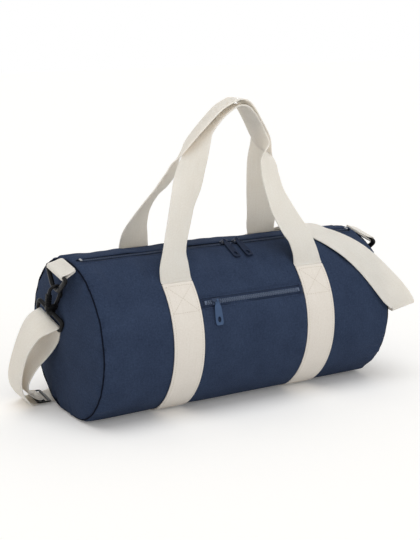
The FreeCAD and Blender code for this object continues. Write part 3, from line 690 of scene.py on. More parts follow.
for half, side in (("front", 1), ("rear", -1)):
    for part, (x_low, x_high) in MOUTH_PARTS.items():
        x_low = max(x_low, -ZIP_END)
        x_high = min(x_high, ZIP_END)
        length = x_high - x_low
        near, far = (TAPE_HALF, TAPE_EDGE) if side > 0 else (TAPE_EDGE, TAPE_HALF)

        def tape_spot(u, v):
            return barrel_point(x_low + length * u, side * arc_turn(near + (far - near) * v), TAPE_DROP)

        steps = max(TAPE_ROWS, round(length / TAPE_STEP))
        tape = cloth_grid(steps, TAPE_ROWS, tape_spot, lambda u, v: (length * u, TAPE_WIDE * v))
        piece = add_piece(f"{half}_tape_{part}", tape, zip_tape)
        thicken(piece, TAPE_THICK)
        teeth = bmesh.new()
        shift = 0 if side > 0 else TOOTH_PITCH / 2
        teeth_row(teeth, side, x_low, x_high, 0, TAPE_DROP + TOOTH_LIFT, shift)
        row = add_piece(f"{half}_teeth_{part}", teeth, tooth_plastic)
        seam = thread_mesh()
        sew_turn = side * (ZIP_FOLD + FOLD_STITCH)

        def fold_line(t):
            x = x_low + length * t
            lift = cloth_lift(x, sew_turn) + STITCH_LIFT
            return barrel_point(x, sew_turn, lift), barrel_out(sew_turn)

        sew(seam, fold_line, length)
        topstitch = add_piece(f"{half}_topstitch_{part}", seam, navy_thread)
        for made in (piece, row, topstitch):
            fold_with_mouth(made, f"{half}_lip", part)
        if part == "centre":
            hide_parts(f"{half}_zip_tape")
            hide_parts(f"{half}_zip_teeth")
        else:
            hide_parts(f"{part}_zip_end_tapes")
            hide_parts(f"{part}_zip_end_teeth")

STOP_SIZE = (0.0034, 0.0026, 0.0014, 1)
STOP_APART = 0.0018
STOP_LIFT = 0.0011
STOP_ROUND = 0.0005
STOP_X = ZIP_END - 0.0015
STOP_TONES = ((0.36, 0.38, 0.42, 1.0), (0.50, 0.52, 0.56, 1.0))
stop_metal = moulded("stop_metal", *STOP_TONES, roughness=0.42, grain=500.0, depth=0.0001)
for end, side in ENDS:
    stop = bmesh.new()
    for apart in (-STOP_APART, STOP_APART):
        place = seat(side * STOP_X, arc_turn(apart), STOP_LIFT)
        bmesh.ops.create_cube(stop, size=1.0, matrix=place @ Matrix.Diagonal(STOP_SIZE))
    ease_edges(stop, stop.edges[:], STOP_ROUND, 2)
    trim(f"{end}_stop", stop, stop_metal, "zip_metal", "bag", f"{end}_zip_stop")

# Zip sliders: cast bodies with a bridge over the top, and a rubber pull tab hooked on each.
# The two on the main zip meet near its middle, and the one on the pocket stands at its left end.
SLIDER_LONG = 0.0065
SLIDER_WIDE = 0.00475
SLIDER_PLATES = ((0.0003, 0.0017), (-0.0034, -0.0021))
SLIDER_BRIDGE = [(-0.0058, 0.0012), (-0.0057, 0.0030), (-0.0042, 0.0042), (0.0, 0.0044)]
SLIDER_ROUND = 0.0006
SLIDER_POST = ((-0.0062, -0.0008, -0.0024), (-0.0020, 0.0008, 0.0010))
POST_ROUND = 0.0003
BRIDGE_STOCK = 0.0009
BRIDGE_BROAD = 1.6
PULL_NECK = 0.0052
PULL_THICK = 0.0016
PULL_HOLE = 0.0042
PULL_HOLE_UP = 0.0085
PULL_EYE = 0.0019
PULL_SIDES = 32
PULL_SQUARE = 0.35
PULL_TAPER = 0.22
PULL_HOLE_WIDE = 0.21
PULL_ROUND = 0.0004
STEM_WIDE = 0.27
STEM_TOP = 0.0010
STEM_FOOT = 0.0072
STEM_HALF = 0.0007
STEM_ROUND = 0.0004
WIRE_STOCK = 0.0008
WIRE_BROAD = 2.2
SLIDER_TONES = ((0.016, 0.022, 0.042, 1.0), (0.030, 0.042, 0.078, 1.0))
slider_metal = moulded("slider_metal", *SLIDER_TONES, roughness=0.36, grain=700.0, depth=0.0001, specular=0.3)
MAIN_PULL_TONES = ((0.0100, 0.0165, 0.0380, 1.0), (0.0170, 0.0275, 0.0580, 1.0))
main_rubber = moulded(
    "main_rubber", *MAIN_PULL_TONES, roughness=0.48, grain=800.0, depth=0.0002, specular=0.08
)
POCKET_PULL_TONES = ((0.040, 0.074, 0.150, 1.0), (0.056, 0.100, 0.195, 1.0))
pocket_rubber = moulded(
    "pocket_rubber", *POCKET_PULL_TONES, roughness=0.45, grain=800.0, depth=0.0002, specular=0.2
)


def box(mesh, place, low, high, bevel):
    low, high = Vector(low), Vector(high)
    size = high - low
    shape = Matrix.Translation((low + high) / 2) @ Matrix.Diagonal((*size, 1))
    made = bmesh.ops.create_cube(mesh, size=1.0, matrix=place @ shape)
    edges = dict.fromkeys(edge for vert in made["verts"] for edge in vert.link_edges)
    ease_edges(mesh, list(edges), bevel, 2)


def slider_body(place):
    mesh = bmesh.new()
    for low, high in SLIDER_PLATES:
        near, far = (-SLIDER_LONG, -SLIDER_WIDE, low), (SLIDER_LONG, SLIDER_WIDE, high)
        box(mesh, place, near, far, SLIDER_ROUND)
    box(mesh, place, *SLIDER_POST, POST_ROUND)
    bridge = SLIDER_BRIDGE + [(-x, z) for x, z in reversed(SLIDER_BRIDGE[:-1])]
    points = [place @ Vector((x, 0, z)) for x, z in bridge]
    back = (place.to_3x3() @ Vector((0, 1, 0))).normalized()
    stock = oval(BRIDGE_STOCK * BRIDGE_BROAD, BRIDGE_STOCK, 10)
    sweep(mesh, path_rows(points, back), stock)
    return mesh


def pull_tab(centre, run, length, width):
    mesh = bmesh.new()
    along = run.normalized()
    place = placed(LENGTHWAYS, along, LENGTHWAYS.cross(along), centre)
    hole_at = length - PULL_HOLE_UP
    middle = (PULL_NECK + length) / 2
    tab_half = (length - PULL_NECK) / 2
    face = PULL_THICK / 2
    outer = []
    inner = []
    for c, s in ring_of(1.0, PULL_SIDES):
        round_c = math.copysign(abs(c) ** PULL_SQUARE, c)
        round_s = math.copysign(abs(s) ** PULL_SQUARE, s)
        narrow = 1 - PULL_TAPER * (0.5 - 0.5 * round_s) ** 2
        outer.append(mesh.verts.new((width / 2 * round_c * narrow, middle + tab_half * round_s, face)))
        inner.append(mesh.verts.new((width * PULL_HOLE_WIDE * c, hole_at + PULL_HOLE * s, face)))
    loops = []
    for verts in (outer, inner):
        loops += [mesh.edges.new((verts[k - 1], verts[k])) for k in range(PULL_SIDES)]
    faces = bmesh.ops.bridge_loops(mesh, edges=loops)["faces"]
    grown = bmesh.ops.extrude_face_region(mesh, geom=faces)["geom"]
    under = [part for part in grown if isinstance(part, bmesh.types.BMVert)]
    bmesh.ops.translate(mesh, verts=under, vec=(0, 0, -PULL_THICK))
    bmesh.ops.recalc_face_normals(mesh, faces=mesh.faces[:])
    mesh.transform(place)
    near = (-width * STEM_WIDE, STEM_TOP, -STEM_HALF)
    box(mesh, place, near, (width * STEM_WIDE, STEM_FOOT, STEM_HALF), STEM_ROUND)
    eye = [place @ Vector((0, b, c)) for b, c in ring_of(PULL_EYE, 16)]
    wire = oval(WIRE_STOCK * WIRE_BROAD, WIRE_STOCK, 8)
    sweep(mesh, path_rows(eye, LENGTHWAYS, True), wire, True)
    return mesh


POCKET_ZIP_TURN = arc_turn(0.1117)
# Lifts of the slider, of the pull's eye and of its tip, then the pull's length and width
MAIN_PULL = (0.0006, 0.0049, 0.0024, 0.044, 0.0120)
POCKET_PULL = (0.0030, 0.0074, 0.0038, 0.036, 0.0130)
for name, body_word, pull_word, x, turn, sizes in (
    ("left", "main_slider_left", "main_pull_left", 0.004, 0, MAIN_PULL),
    ("right", "main_slider_right", "main_pull_right", 0.026, 0, MAIN_PULL),
    ("pocket", "pocket_slider", "pocket_pull", -0.065, POCKET_ZIP_TURN, POCKET_PULL),
):
    lift, bar, rest, length, width = sizes
    metal, rubber = (tooth_plastic, pocket_rubber) if name == "pocket" else (slider_metal, main_rubber)
    piece = add_piece(body_word + "_cast", slider_body(seat(x, turn, lift)), metal)
    fasten(piece, "zip_metal", name + "_slider", body_word)
    eye = barrel_point(x, turn, bar)
    tip = barrel_point(x, turn + arc_turn(length), rest)
    piece = add_piece(pull_word + "_tab", pull_tab(eye, tip - eye, length, width), rubber)
    round_edges(piece, PULL_ROUND)
    fasten(piece, "pull_rubber", name + "_pull", pull_word)

# Front pocket: a navy canvas panel between the two bands, closed by a smaller zip along its top.
# A turned strip lies over the zip's upper tape, and all the edges are topstitched.
POCKET_HALF = 0.0907
POCKET_LIFT = 0.0014
POCKET_TOP = arc_turn(0.1004)
POCKET_FOLD = arc_turn(0.1050)
POCKET_SEAM = arc_turn(0.1184)
POCKET_FOOT = arc_turn(0.2940)
POCKET_THICK = 0.0012
POCKET_SWELL = 0.0014
POCKET_STAND = 0.0006
POCKET_TAPE_LIFT = 0.0008
POCKET_TAPE_THICK = 0.0006
POCKET_TAPE_WIDE = 0.0134
POCKET_ZIP_HALF = 0.080
POCKET_TOOTH_LIFT = 0.0017
POCKET_STOP_X = 0.0817
POCKET_STOP_LIFT = 0.0018
POCKET_STOP = ((-0.0014, -0.0028, -0.0008), (0.0014, 0.0028, 0.0010))
POCKET_STOP_ROUND = 0.0004
POCKET_ALONG = 14
POCKET_NOISE = (0.03, 3.3)
POCKET_COLUMNS = 40
POCKET_TAPE_GRID = (36, 6)
POCKET_TOOTH_TONES = ((0.085, 0.118, 0.190, 1.0), (0.135, 0.172, 0.255, 1.0))
pocket_tooth = moulded(
    "pocket_tooth", *POCKET_TOOTH_TONES, roughness=0.45, grain=900.0, depth=0.0001, specular=0.3
)


def pocket_ease(x, turn):
    inside = 1 - (x / POCKET_HALF) ** 2
    swell = POCKET_SWELL * inside * wander(x * POCKET_ALONG, turn, *POCKET_NOISE)
    return swell + POCKET_STAND * inside


def pocket_cloth(name, turn_low, turn_high, rows, node):
    def spot(u, v):
        x = POCKET_HALF * (2 * u - 1)
        turn = turn_low + (turn_high - turn_low) * v
        swell = max(0.0, pocket_ease(x, turn)) if node == "pocket_panel" else 0.0
        return barrel_point(x, turn, POCKET_LIFT + swell)

    arc = math.radians(turn_low - turn_high) * BARREL_RADIUS
    made = cloth_grid(POCKET_COLUMNS, rows, spot, lambda u, v: (2 * POCKET_HALF * u, arc * v))
    piece = add_piece(name, made, navy_canvas)
    subdivide(piece)
    thicken(piece, POCKET_THICK)
    fasten(piece, "navy_cloth", "bag", node)


pocket_cloth("pocket_front", POCKET_FOOT, POCKET_SEAM, 36, "pocket_panel")
pocket_cloth("pocket_strip", POCKET_FOLD, POCKET_TOP, 3, "pocket_top_strip")


def pocket_tape(u, v):
    turn = POCKET_SEAM + (POCKET_FOLD - POCKET_SEAM) * v
    return barrel_point(POCKET_HALF * (2 * u - 1), turn, POCKET_TAPE_LIFT)


def pocket_tape_lay(u, v):
    return 2 * POCKET_HALF * u, POCKET_TAPE_WIDE * v


tapes = cloth_grid(*POCKET_TAPE_GRID, pocket_tape, pocket_tape_lay)
piece = add_piece("pocket_tapes", tapes, zip_tape)
thicken(piece, POCKET_TAPE_THICK)
fasten(piece, "zip_tape", "bag", "pocket_zip_tapes")

pocket_teeth = bmesh.new()
for side in (1, -1):
    rows = bmesh.new()
    shift = 0 if side > 0 else TOOTH_PITCH / 2
    teeth_row(rows, side, -POCKET_ZIP_HALF, POCKET_ZIP_HALF, POCKET_ZIP_TURN, POCKET_TOOTH_LIFT, shift)
    made = bpy.data.meshes.new("pocket_row")
    rows.to_mesh(made)
    rows.free()
    pocket_teeth.from_mesh(made)
    bpy.data.meshes.remove(made)
trim("pocket_teeth", pocket_teeth, pocket_tooth, "zip_teeth", "bag", "pocket_zip_teeth")

stops = bmesh.new()
for side in (-1, 1):
    place = seat(side * POCKET_STOP_X, POCKET_ZIP_TURN, POCKET_STOP_LIFT)
    box(stops, place, *POCKET_STOP, POCKET_STOP_ROUND)
trim("pocket_stops", stops, pocket_tooth, "zip_teeth", "bag", "pocket_zip_stops")

TACK_X = 0.0845
TACK_APART = 0.0009
TACK_TURN = 0.9
TOP_ROW = 0.7
SEAM_ROW = 1.2
SEWN_LIFT = POCKET_LIFT + 0.0002
seams = thread_mesh()
for turn in (POCKET_TOP + TOP_ROW, POCKET_SEAM + SEAM_ROW):
    sew(seams, *barrel_line(-POCKET_HALF, turn, POCKET_HALF, turn, SEWN_LIFT))
for x in (-TACK_X, TACK_X):
    for step in (-1, 0, 1):
        at = x + TACK_APART * step
        sew(seams, *barrel_line(at, POCKET_TOP + TACK_TURN, at, POCKET_SEAM + TACK_TURN, SEWN_LIFT))
trim("pocket_stitching", seams, navy_thread, "navy_cloth", "bag")

# Carrying handles: one length of cream webbing each, running up from the bands to a narrowed grip.
# The rear handle rests over the front one at the grip.
HANDLE_TURN = arc_turn(0.0692)
GRIP_HEIGHT = 0.449
GRIP_FRONT = 0.040
HANDLE_STEPS = 6
WEB_COLUMNS = 6
HANDLE_TAIL = 33.3
HANDLE_SQUARE = 18
HANDLE_FIXED = 0.004
# Rows: share of BAND_X, shares of the way from foot to grip forward and up,
# share of WEB_WIDTH, and turn of the width
FRONT_HANDLE = [
    (-0.996, 0.097, 0.071, 1.00, -5), (-0.968, 0.200, 0.158, 1.00, -20), (-0.909, 0.317, 0.252, 1.00, -22),
    (-0.843, 0.427, 0.338, 1.00, -20), (-0.759, 0.559, 0.451, 0.96, -14), (-0.664, 0.674, 0.551, 0.88, 8),
    (-0.590, 0.758, 0.630, 0.80, 30), (-0.513, 0.813, 0.704, 0.76, 48), (-0.431, 0.912, 0.774, 0.74, 66),
    (-0.345, 1.000, 0.832, 0.72, 80), (-0.172, 1.000, 0.916, 0.72, 86), (0.026, 1.000, 0.977, 0.72, 88),
    (0.138, 1.000, 0.988, 0.72, 86), (0.241, 1.000, 0.965, 0.72, 82), (0.359, 1.000, 0.889, 0.72, 77),
    (0.461, 1.000, 0.801, 0.72, 76), (0.526, 0.967, 0.741, 0.73, 84), (0.552, 0.912, 0.698, 0.76, 116),
    (0.565, 0.835, 0.657, 0.80, 146), (0.569, 0.758, 0.610, 0.84, 156), (0.582, 0.659, 0.532, 0.88, 158),
    (0.625, 0.548, 0.437, 0.94, 158), (0.691, 0.443, 0.351, 1.00, 163), (0.813, 0.306, 0.242, 1.00, 167),
    (0.920, 0.207, 0.164, 1.00, 168), (0.987, 0.090, 0.067, 1.00, 173),
]
REAR_HANDLE = [
    (-1.022, 0.081, 0.069, 1.00, 8), (-1.039, 0.187, 0.148, 1.00, 19), (-0.990, 0.335, 0.266, 1.00, 36),
    (-0.879, 0.470, 0.379, 1.00, 42), (-0.772, 0.558, 0.454, 1.00, 37), (-0.677, 0.658, 0.546, 0.92, 38),
    (-0.616, 0.700, 0.633, 0.82, 52), (-0.560, 0.835, 0.718, 0.76, 70), (-0.431, 0.959, 0.823, 0.72, 78),
    (-0.168, 1.000, 0.959, 0.72, 83), (0.017, 1.000, 1.011, 0.72, 88), (0.134, 1.000, 1.027, 0.72, 91),
    (0.254, 1.000, 0.992, 0.72, 96), (0.391, 1.000, 0.876, 0.72, 103), (0.534, 0.929, 0.773, 0.72, 103),
    (0.629, 0.753, 0.674, 0.76, 110), (0.690, 0.611, 0.564, 0.84, 131), (0.776, 0.476, 0.385, 0.94, 150),
    (0.892, 0.264, 0.193, 1.00, 167), (0.948, 0.105, 0.078, 1.00, 174),
]


def smooth_route(rows, steps):
    found = []
    last = len(rows) - 1
    for k in range(last):
        knots = (rows[max(k - 1, 0)], rows[k], rows[k + 1], rows[min(k + 2, last)])
        for step in range(steps):
            t = step / steps
            row = []
            for a, b, c, d in zip(*knots):
                bend = (2 * a - 5 * b + 4 * c - d) * t * t
                turn = (3 * b - a - 3 * c + d) * t * t * t
                row.append((2 * b + (c - a) * t + bend + turn) / 2)
            found.append(row)
    found.append(list(rows[-1]))
    return found


LIMP_TONES = ((0.865, 0.775, 0.665, 1.0), (0.950, 0.880, 0.780, 1.0))
limp_webbing = woven(
    "limp_webbing", *LIMP_TONES, across=640, along=520, slant=1.0, depth=0.0003, sheen=0.02, glow=0.85
)


def webbing(name, centres, widths, sizes):
    lengths = [0.0]
    for near, far in zip(centres, centres[1:]):
        lengths.append(lengths[-1] + (far - near).length)
    last = len(centres) - 1

    def spot(u, v):
        k = round(v * last)
        return centres[k] + widths[k].normalized() * (sizes[k] * (u - 0.5))

    def lay(u, v):
        return WEB_WIDTH * u, lengths[round(v * last)]

    ribbon = cloth_grid(WEB_COLUMNS, last, spot, lay)
    piece = add_piece(name, ribbon, limp_webbing)
    subdivide(piece)
    thicken(piece, WEB_THICK, 0)
    round_edges(piece, WEB_EDGE)
    return piece


def headings(points):
    rows = zip(points[:1] + points, points[1:] + points[-1:])
    return [(ahead - behind).normalized() for behind, ahead in rows]


def handle_route(shares, side):
    foot = barrel_point(0, side * HANDLE_TURN, MID_WEB)
    rows = []
    for across, lean, rise, width, twist in shares:
        y = foot.y - lean * (GRIP_FRONT + foot.y)
        z = foot.z + rise * (GRIP_HEIGHT - foot.z)
        rows.append((across * BAND_X, y, z, width * WEB_WIDTH, twist))
    rows.insert(0, (-BAND_X, foot.y, foot.z, WEB_WIDTH, 0))
    rows.append((BAND_X, foot.y, foot.z, WEB_WIDTH, 180))
    route = smooth_route(rows, HANDLE_STEPS)
    centres = [Vector(row[:3]) for row in route]
    last = len(route) - 1
    widths = []
    for k, heading in enumerate(headings(centres)):
        twist = math.radians(route[k][4])
        width = Vector((math.cos(twist), -side * math.sin(twist), 0))
        square = min(1, min(k, last - k) / HANDLE_SQUARE)
        widths.append(width - heading * (width.dot(heading) * square))
    tails = []
    for x in (-BAND_X, BAND_X):
        tails.append([barrel_point(x, side * turn, MID_WEB) for turn in (BAND_TURN, HANDLE_TAIL)])
    centres = tails[0] + centres + tails[1][::-1]
    widths = widths[:1] * 2 + widths + widths[-1:] * 2
    sizes = [WEB_WIDTH] * 2 + [row[3] for row in route] + [WEB_WIDTH] * 2
    return centres, widths, sizes, foot


for half, side, shares in (("front", 1, FRONT_HANDLE), ("rear", -1, REAR_HANDLE)):
    centres, widths, sizes, foot = handle_route(shares, side)
    piece = webbing(f"{half}_handle_webbing", centres, widths, sizes)
    low = Vector((0, foot.y, foot.z - HANDLE_FIXED))
    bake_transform(piece)
    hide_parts(f"{half}_handle")

# Strap ends: a webbing tab folded round the bar of a plastic ring and sewn into each end seam.
# A swivelling snap hook with a sprung gate hangs in each ring and carries the strap's loop.
TAB_REACH = 0.023
TAB_DROP = -0.013
TAB_SEAM = 0.0038
TAB_SPREAD = 0.008
TAB_SHUT = 0.52
TAB_OPEN = 0.7
TAB_TURNS = 12
RING_STOCK = 0.0025
RING_DROP = 0.027
RING_TOP_HALF = 0.033
RING_FOOT_HALF = 0.009
RING_CORNER = 0.006
CORNER_STEPS = 6
RING_SHOULDER = 0.008
RING_BROAD = 0.50
RING_DEEP = 1.05
HOOK_INNER = 0.0065
HOOK_STOCK = 0.005
HOOK_CLEAR = 0.0003
HOOK_TIP = 0.0030
HOOK_LINE = HOOK_INNER + HOOK_STOCK / 2
HOOK_TURNS = 16
HOOK_BODY = ((-0.0098, 0.0275, -0.0030), (0.0086, 0.036, 0.0030))
HOOK_ROUND = 0.0012
# Near end, far end, radius and sides of the pin and of its head
HOOK_PINS = ((0.0355, 0.0416, 0.0030, 16), (0.0416, 0.0440, 0.0046, 18))
SHANK = ((0.0006, 0.010), (0.0018, 0.020), (0.0034, 0.030))
SHANK_FLARE = 0.010
SHANK_BROAD = 0.10
SHANK_DEEP = 0.60
RIB_COUNT = 6
RIB_START = 0.0065
RIB_PITCH = 0.0034
RIB_HALF = 0.0041
RIB_SET = 0.0002
RIB_LEAN = 0.10
RIB_DEEP = 0.0034
RIB_HIGH = 0.0016
RIB_ROUND = 0.0005
GATE_LEVER = [(0.0090, 0.0036), (0.0086, 0.0100), (0.0074, 0.0190), (0.0056, 0.0275)]
GATE_WIDE = 0.0026
GATE_DEEP = 0.0030
GATE_PAD = ((0.0104, 0.0080, -0.0022), (0.0122, 0.0140, 0.0022))
PAD_ROUND = 0.0006
BASE_STOCK = 0.0025
BASE_TOP = 0.0388
BASE_FOOT = 0.0563
BASE_HALF = 0.0285
BASE_CORNER = 0.005
BASE_SLIM = 0.0530
BASE_TAPER = 0.006
BASE_BROAD = 0.2
BASE_DEEP = 0.4
BOSS_ENDS = (0.0363, 0.0413)
BOSS_RADIUS = 0.0068
HOOK_LEAN = {"left": 18.0, "right": -30.0}
BASE_TURN = {"left": -14.0, "right": 0.0}
BLACK_TONES = ((0.0040, 0.0040, 0.0045, 1.0), (0.0080, 0.0080, 0.0088, 1.0))
black_plastic = moulded(
    "black_plastic", *BLACK_TONES, roughness=0.32, grain=650.0, depth=0.00015, specular=0.16
)


def rounded_loop(corners, radius):
    points = []
    for k, corner in enumerate(corners):
        near = corner + (corners[k - 1] - corner).normalized() * radius
        far = corner + (corners[(k + 1) % len(corners)] - corner).normalized() * radius
        for step in range(CORNER_STEPS + 1):
            t = step / CORNER_STEPS
            points.append(near * (1 - t) ** 2 + corner * (2 * t * (1 - t)) + far * t * t)
    return points


def ramp(value, length):
    return min(1, max(0, value / length))


strap_bars = {}
for end, side in ENDS:
    down = -barrel_out(0)
    along = LENGTHWAYS.cross(down)
    bar = barrel_point(side * (BARREL_HALF + TAB_REACH), 0, TAB_DROP)
    # Webbing tab
    wrap = RING_STOCK + MID_WEB
    seam = barrel_point(side * (BARREL_HALF + TAB_SEAM), 0, -2 * WEB_THICK)
    run = (seam - bar).normalized()
    out = run.cross(along)
    spread = bar + run * TAB_SPREAD
    centres = [seam + out * WEB_THICK * TAB_SHUT, spread + out * WEB_THICK * TAB_OPEN]
    for k in range(TAB_TURNS + 1):
        turn = math.pi * k / TAB_TURNS
        centres.append(bar + out * (wrap * math.cos(turn)) - run * (wrap * math.sin(turn)))
    centres += [spread - out * WEB_THICK * TAB_OPEN, seam - out * WEB_THICK * TAB_SHUT]
    piece = webbing(f"{end}_tab_webbing", centres, [along] * len(centres), [WEB_WIDTH] * len(centres))
    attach(piece, "bag")
    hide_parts(f"{end}_ring_tab")
    # Ring
    foot = bar + down * RING_DROP
    corners = [bar - along * RING_TOP_HALF, bar + along * RING_TOP_HALF]
    corners += [foot + along * RING_FOOT_HALF, foot - along * RING_FOOT_HALF]
    mesh = bmesh.new()
    rows = []
    for centre, normal, rise in path_rows(rounded_loop(corners, RING_CORNER), LENGTHWAYS, True):
        hang = (centre - bar).dot(down)
        broad = ramp(hang, RING_SHOULDER) * (1 - ramp(hang - RING_DROP + RING_CORNER, RING_CORNER))
        rows.append((centre, normal * (1 + RING_BROAD * broad), rise * (1 + RING_DEEP * broad)))
    sweep(mesh, rows, ring_of(RING_STOCK, 14), True)
    trim(f"{end}_ring_moulding", mesh, black_plastic, "black_plastic", f"{end}_ring", f"{end}_ring")
    # Snap hook
    lean = math.radians(HOOK_LEAN[end])
    drop = down * math.cos(lean) + Vector((0, -down.z, down.y)) * math.sin(lean)
    inward = Vector((-side, 0, 0))
    across = inward.cross(drop)
    bar_reach = RING_STOCK / math.cos(lean) + HOOK_STOCK / 2 * abs(math.tan(lean))
    eye = foot + drop * (HOOK_INNER - bar_reach - HOOK_CLEAR)
    place = placed(inward, drop, across, eye)
    spots = [(HOOK_LINE, HOOK_TIP)]
    for k in range(HOOK_TURNS + 1):
        turn = math.pi * k / HOOK_TURNS
        spots.append((HOOK_LINE * math.cos(turn), -HOOK_LINE * math.sin(turn)))
    for shift, low in SHANK:
        spots.append((shift - HOOK_LINE, low))
    mesh = bmesh.new()
    rows = []
    for centre, normal, rise in path_rows([place @ Vector((a, b, 0)) for a, b in spots], across):
        shank = ramp((centre - eye).dot(drop), SHANK_FLARE)
        rows.append((centre, normal * (1 + SHANK_BROAD * shank), rise * (1 + SHANK_DEEP * shank)))
    sweep(mesh, rows, ring_of(HOOK_STOCK / 2, 12))
    box(mesh, place, *HOOK_BODY, HOOK_ROUND)
    for k in range(RIB_COUNT):
        low = RIB_START + RIB_PITCH * k
        mid = -HOOK_LINE + RIB_SET + RIB_LEAN * (low - RIB_START)
        corner = (mid - RIB_HALF, low, -RIB_DEEP)
        box(mesh, place, corner, (mid + RIB_HALF, low + RIB_HIGH, RIB_DEEP), RIB_ROUND)
    for near, far, radius, sides in HOOK_PINS:
        pin = [place @ Vector((0, at, 0)) for at in (near, far)]
        sweep(mesh, path_rows(pin, inward), ring_of(radius, sides))
    trim(f"{end}_hook_moulding", mesh, black_plastic, "black_plastic", f"{end}_hook", f"{end}_hook")
    # Sprung gate
    mesh = bmesh.new()
    lever = path_rows([place @ Vector((a, b, 0)) for a, b in GATE_LEVER], across)
    sweep(mesh, lever, oval(GATE_WIDE, GATE_DEEP, 12))
    box(mesh, place, *GATE_PAD, PAD_ROUND)
    trim(f"{end}_gate_moulding", mesh, black_plastic, "black_plastic", f"{end}_gate", f"{end}_hook_gate")
    # Swivel base with the bar for the strap, turned a little about the hook's pin
    turn = math.radians(BASE_TURN[end])
    base_in = inward * math.cos(turn) - across * math.sin(turn)
    across = across * math.cos(turn) + inward * math.sin(turn)
    place = placed(base_in, drop, across, eye)
    mesh = bmesh.new()
    corners = [(BASE_TOP, -BASE_HALF), (BASE_TOP, BASE_HALF), (BASE_FOOT, BASE_HALF), (BASE_FOOT, -BASE_HALF)]
    corners = [place @ Vector((0, low, wide)) for low, wide in corners]
    rows = []
    for centre, normal, rise in path_rows(rounded_loop(corners, BASE_CORNER), base_in, True):
        clear = ramp(BASE_SLIM - (centre - eye).dot(drop), BASE_TAPER)
        rows.append((centre, normal * (1 + BASE_BROAD * clear), rise * (1 + BASE_DEEP * clear)))
    sweep(mesh, rows, ring_of(BASE_STOCK, 14), True)
    boss = [place @ Vector((0, at, 0)) for at in BOSS_ENDS]
    sweep(mesh, path_rows(boss, inward), ring_of(BOSS_RADIUS, 20))
    trim(f"{end}_base_moulding", mesh, black_plastic, "black_plastic", f"{end}_ring", f"{end}_hook_base")
    strap_bars[end] = (place @ Vector((0, BASE_FOOT, 0)), drop, across, base_in * -side)

# Shoulder strap: one long piece of cream webbing from the left hook to the right one.
# It doubles back at the left through an adjuster on the floor, runs along the rear,
# and lies over the barrel's right shoulder.
STRAP_LIFT = 0.005
STRAP_STEPS = 5
STRAP_ARM = BASE_STOCK + MID_WEB
STRAP_TAIL = 0.030
BAR_TURNS = 4
LEFT_LEAVE = -40
RIGHT_LEAVE = -90
SEWN_FROM = 0.08
SEWN_TO = 0.92
BARREL_LENGTH = 2 * BARREL_HALF
# Rows: shares of BARREL_LENGTH, BARREL_RADIUS and AXIS_HEIGHT, then the way of the width
STRAP_OUTER = [
    (-0.5740, 0.117, 1.237, -0.20, 0.88, 0.42), (-0.5970, 0.161, 1.140, -0.08, 0.96, 0.26),
    (-0.6190, 0.250, 0.895, 0.02, 0.99, 0.10), (-0.6270, 0.387, 0.561, 0.00, 0.99, 0.04),
    (-0.6180, 0.492, 0.316, 0.00, 0.99, 0.03), (-0.5900, 0.589, 0.123, 0.03, 0.99, 0.00),
    (-0.5620, 0.669, 0.021, 0.08, 0.99, 0.00), (-0.5300, 0.710, 0.016, 0.12, 0.99, 0.00),
    (-0.5000, 0.710, 0.016, 0.08, 0.99, 0.00),
]
STRAP_INNER = [
    (-0.5220, 0.710, 0.062, 0.12, 0.99, 0.00), (-0.5440, 0.694, 0.082, 0.08, 0.99, 0.00),
    (-0.5800, 0.613, 0.211, 0.02, 0.99, 0.05), (-0.5960, 0.508, 0.377, 0.00, 0.99, 0.10),
    (-0.5940, 0.411, 0.535, 0.00, 0.98, 0.16), (-0.5800, 0.339, 0.702, -0.03, 0.96, 0.22),
    (-0.5550, 0.258, 0.886, -0.08, 0.93, 0.32), (-0.5390, 0.177, 1.079, -0.16, 0.89, 0.42),
]
STRAP_END = [
    (0.5136, -0.994, 1.299, -0.81, -0.16, -0.57), (0.5370, -1.005, 1.193, -0.91, -0.15, -0.38),
    (0.5580, -0.990, 1.101, -0.97, -0.14, -0.16), (0.5632, -0.964, 1.061, -0.98, -0.12, -0.12),
    (0.5640, -0.927, 1.060, -0.98, -0.08, -0.12), (0.5640, -0.871, 1.079, -0.98, -0.02, -0.14),
    (0.5640, -0.790, 1.092, -0.96, 0.06, -0.20), (0.5630, -0.677, 1.070, -0.87, 0.20, -0.42),
    (0.5610, -0.532, 1.035, -0.60, 0.56, -0.56), (0.5570, -0.387, 1.079, -0.22, 0.85, -0.47),
]
# Rear run: share of BARREL_LENGTH, turn from the top to the front, share of STRAP_LIFT, share lying flat
STRAP_REAR = [
    (-0.430, -139.6, 3.30, 0.8), (-0.364, -136.0, 2.50, 0.4), (-0.300, -131.0, 1.30, 0.0),
    (-0.200, -121.0, 1.00, 0.0), (-0.100, -110.0, 1.00, 0.0), (0.000, -97.0, 1.00, 0.0),
    (0.090, -82.0, 1.00, 0.0), (0.176, -65.0, 1.00, 0.0), (0.256, -47.0, 1.10, 0.0),
    (0.316, -33.0, 1.10, 0.0), (0.336, -22.0, 1.10, 0.0), (0.341, -10.0, 1.00, 0.0),
    (0.343, 3.0, 0.85, 0.0), (0.347, 13.7, 0.75, 0.0), (0.377, 26.1, 0.72, 0.0),
    (0.415, 39.3, 0.70, 0.0), (0.450, 52.6, 0.70, 0.0), (0.482, 64.5, 0.70, 0.0),
    (0.512, 74.0, 0.75, 0.0),
]


def strap_rows(shares):
    rows = []
    for along, forward, up, *width in shares:
        rows.append((along * BARREL_LENGTH, forward * BARREL_RADIUS, up * AXIS_HEIGHT, *width))
    return rows


def over_bar(end, leave):
    centre, drop, across, right = strap_bars[end]
    width = across if across.y > 0 else -across
    rows = []
    for step in range(BAR_TURNS + 1):
        turn = math.radians(90 + (leave - 90) * step / BAR_TURNS)
        point = centre + right * (STRAP_ARM * math.sin(turn)) - drop * (STRAP_ARM * math.cos(turn))
        rows.append((*point, *width))
    return rows


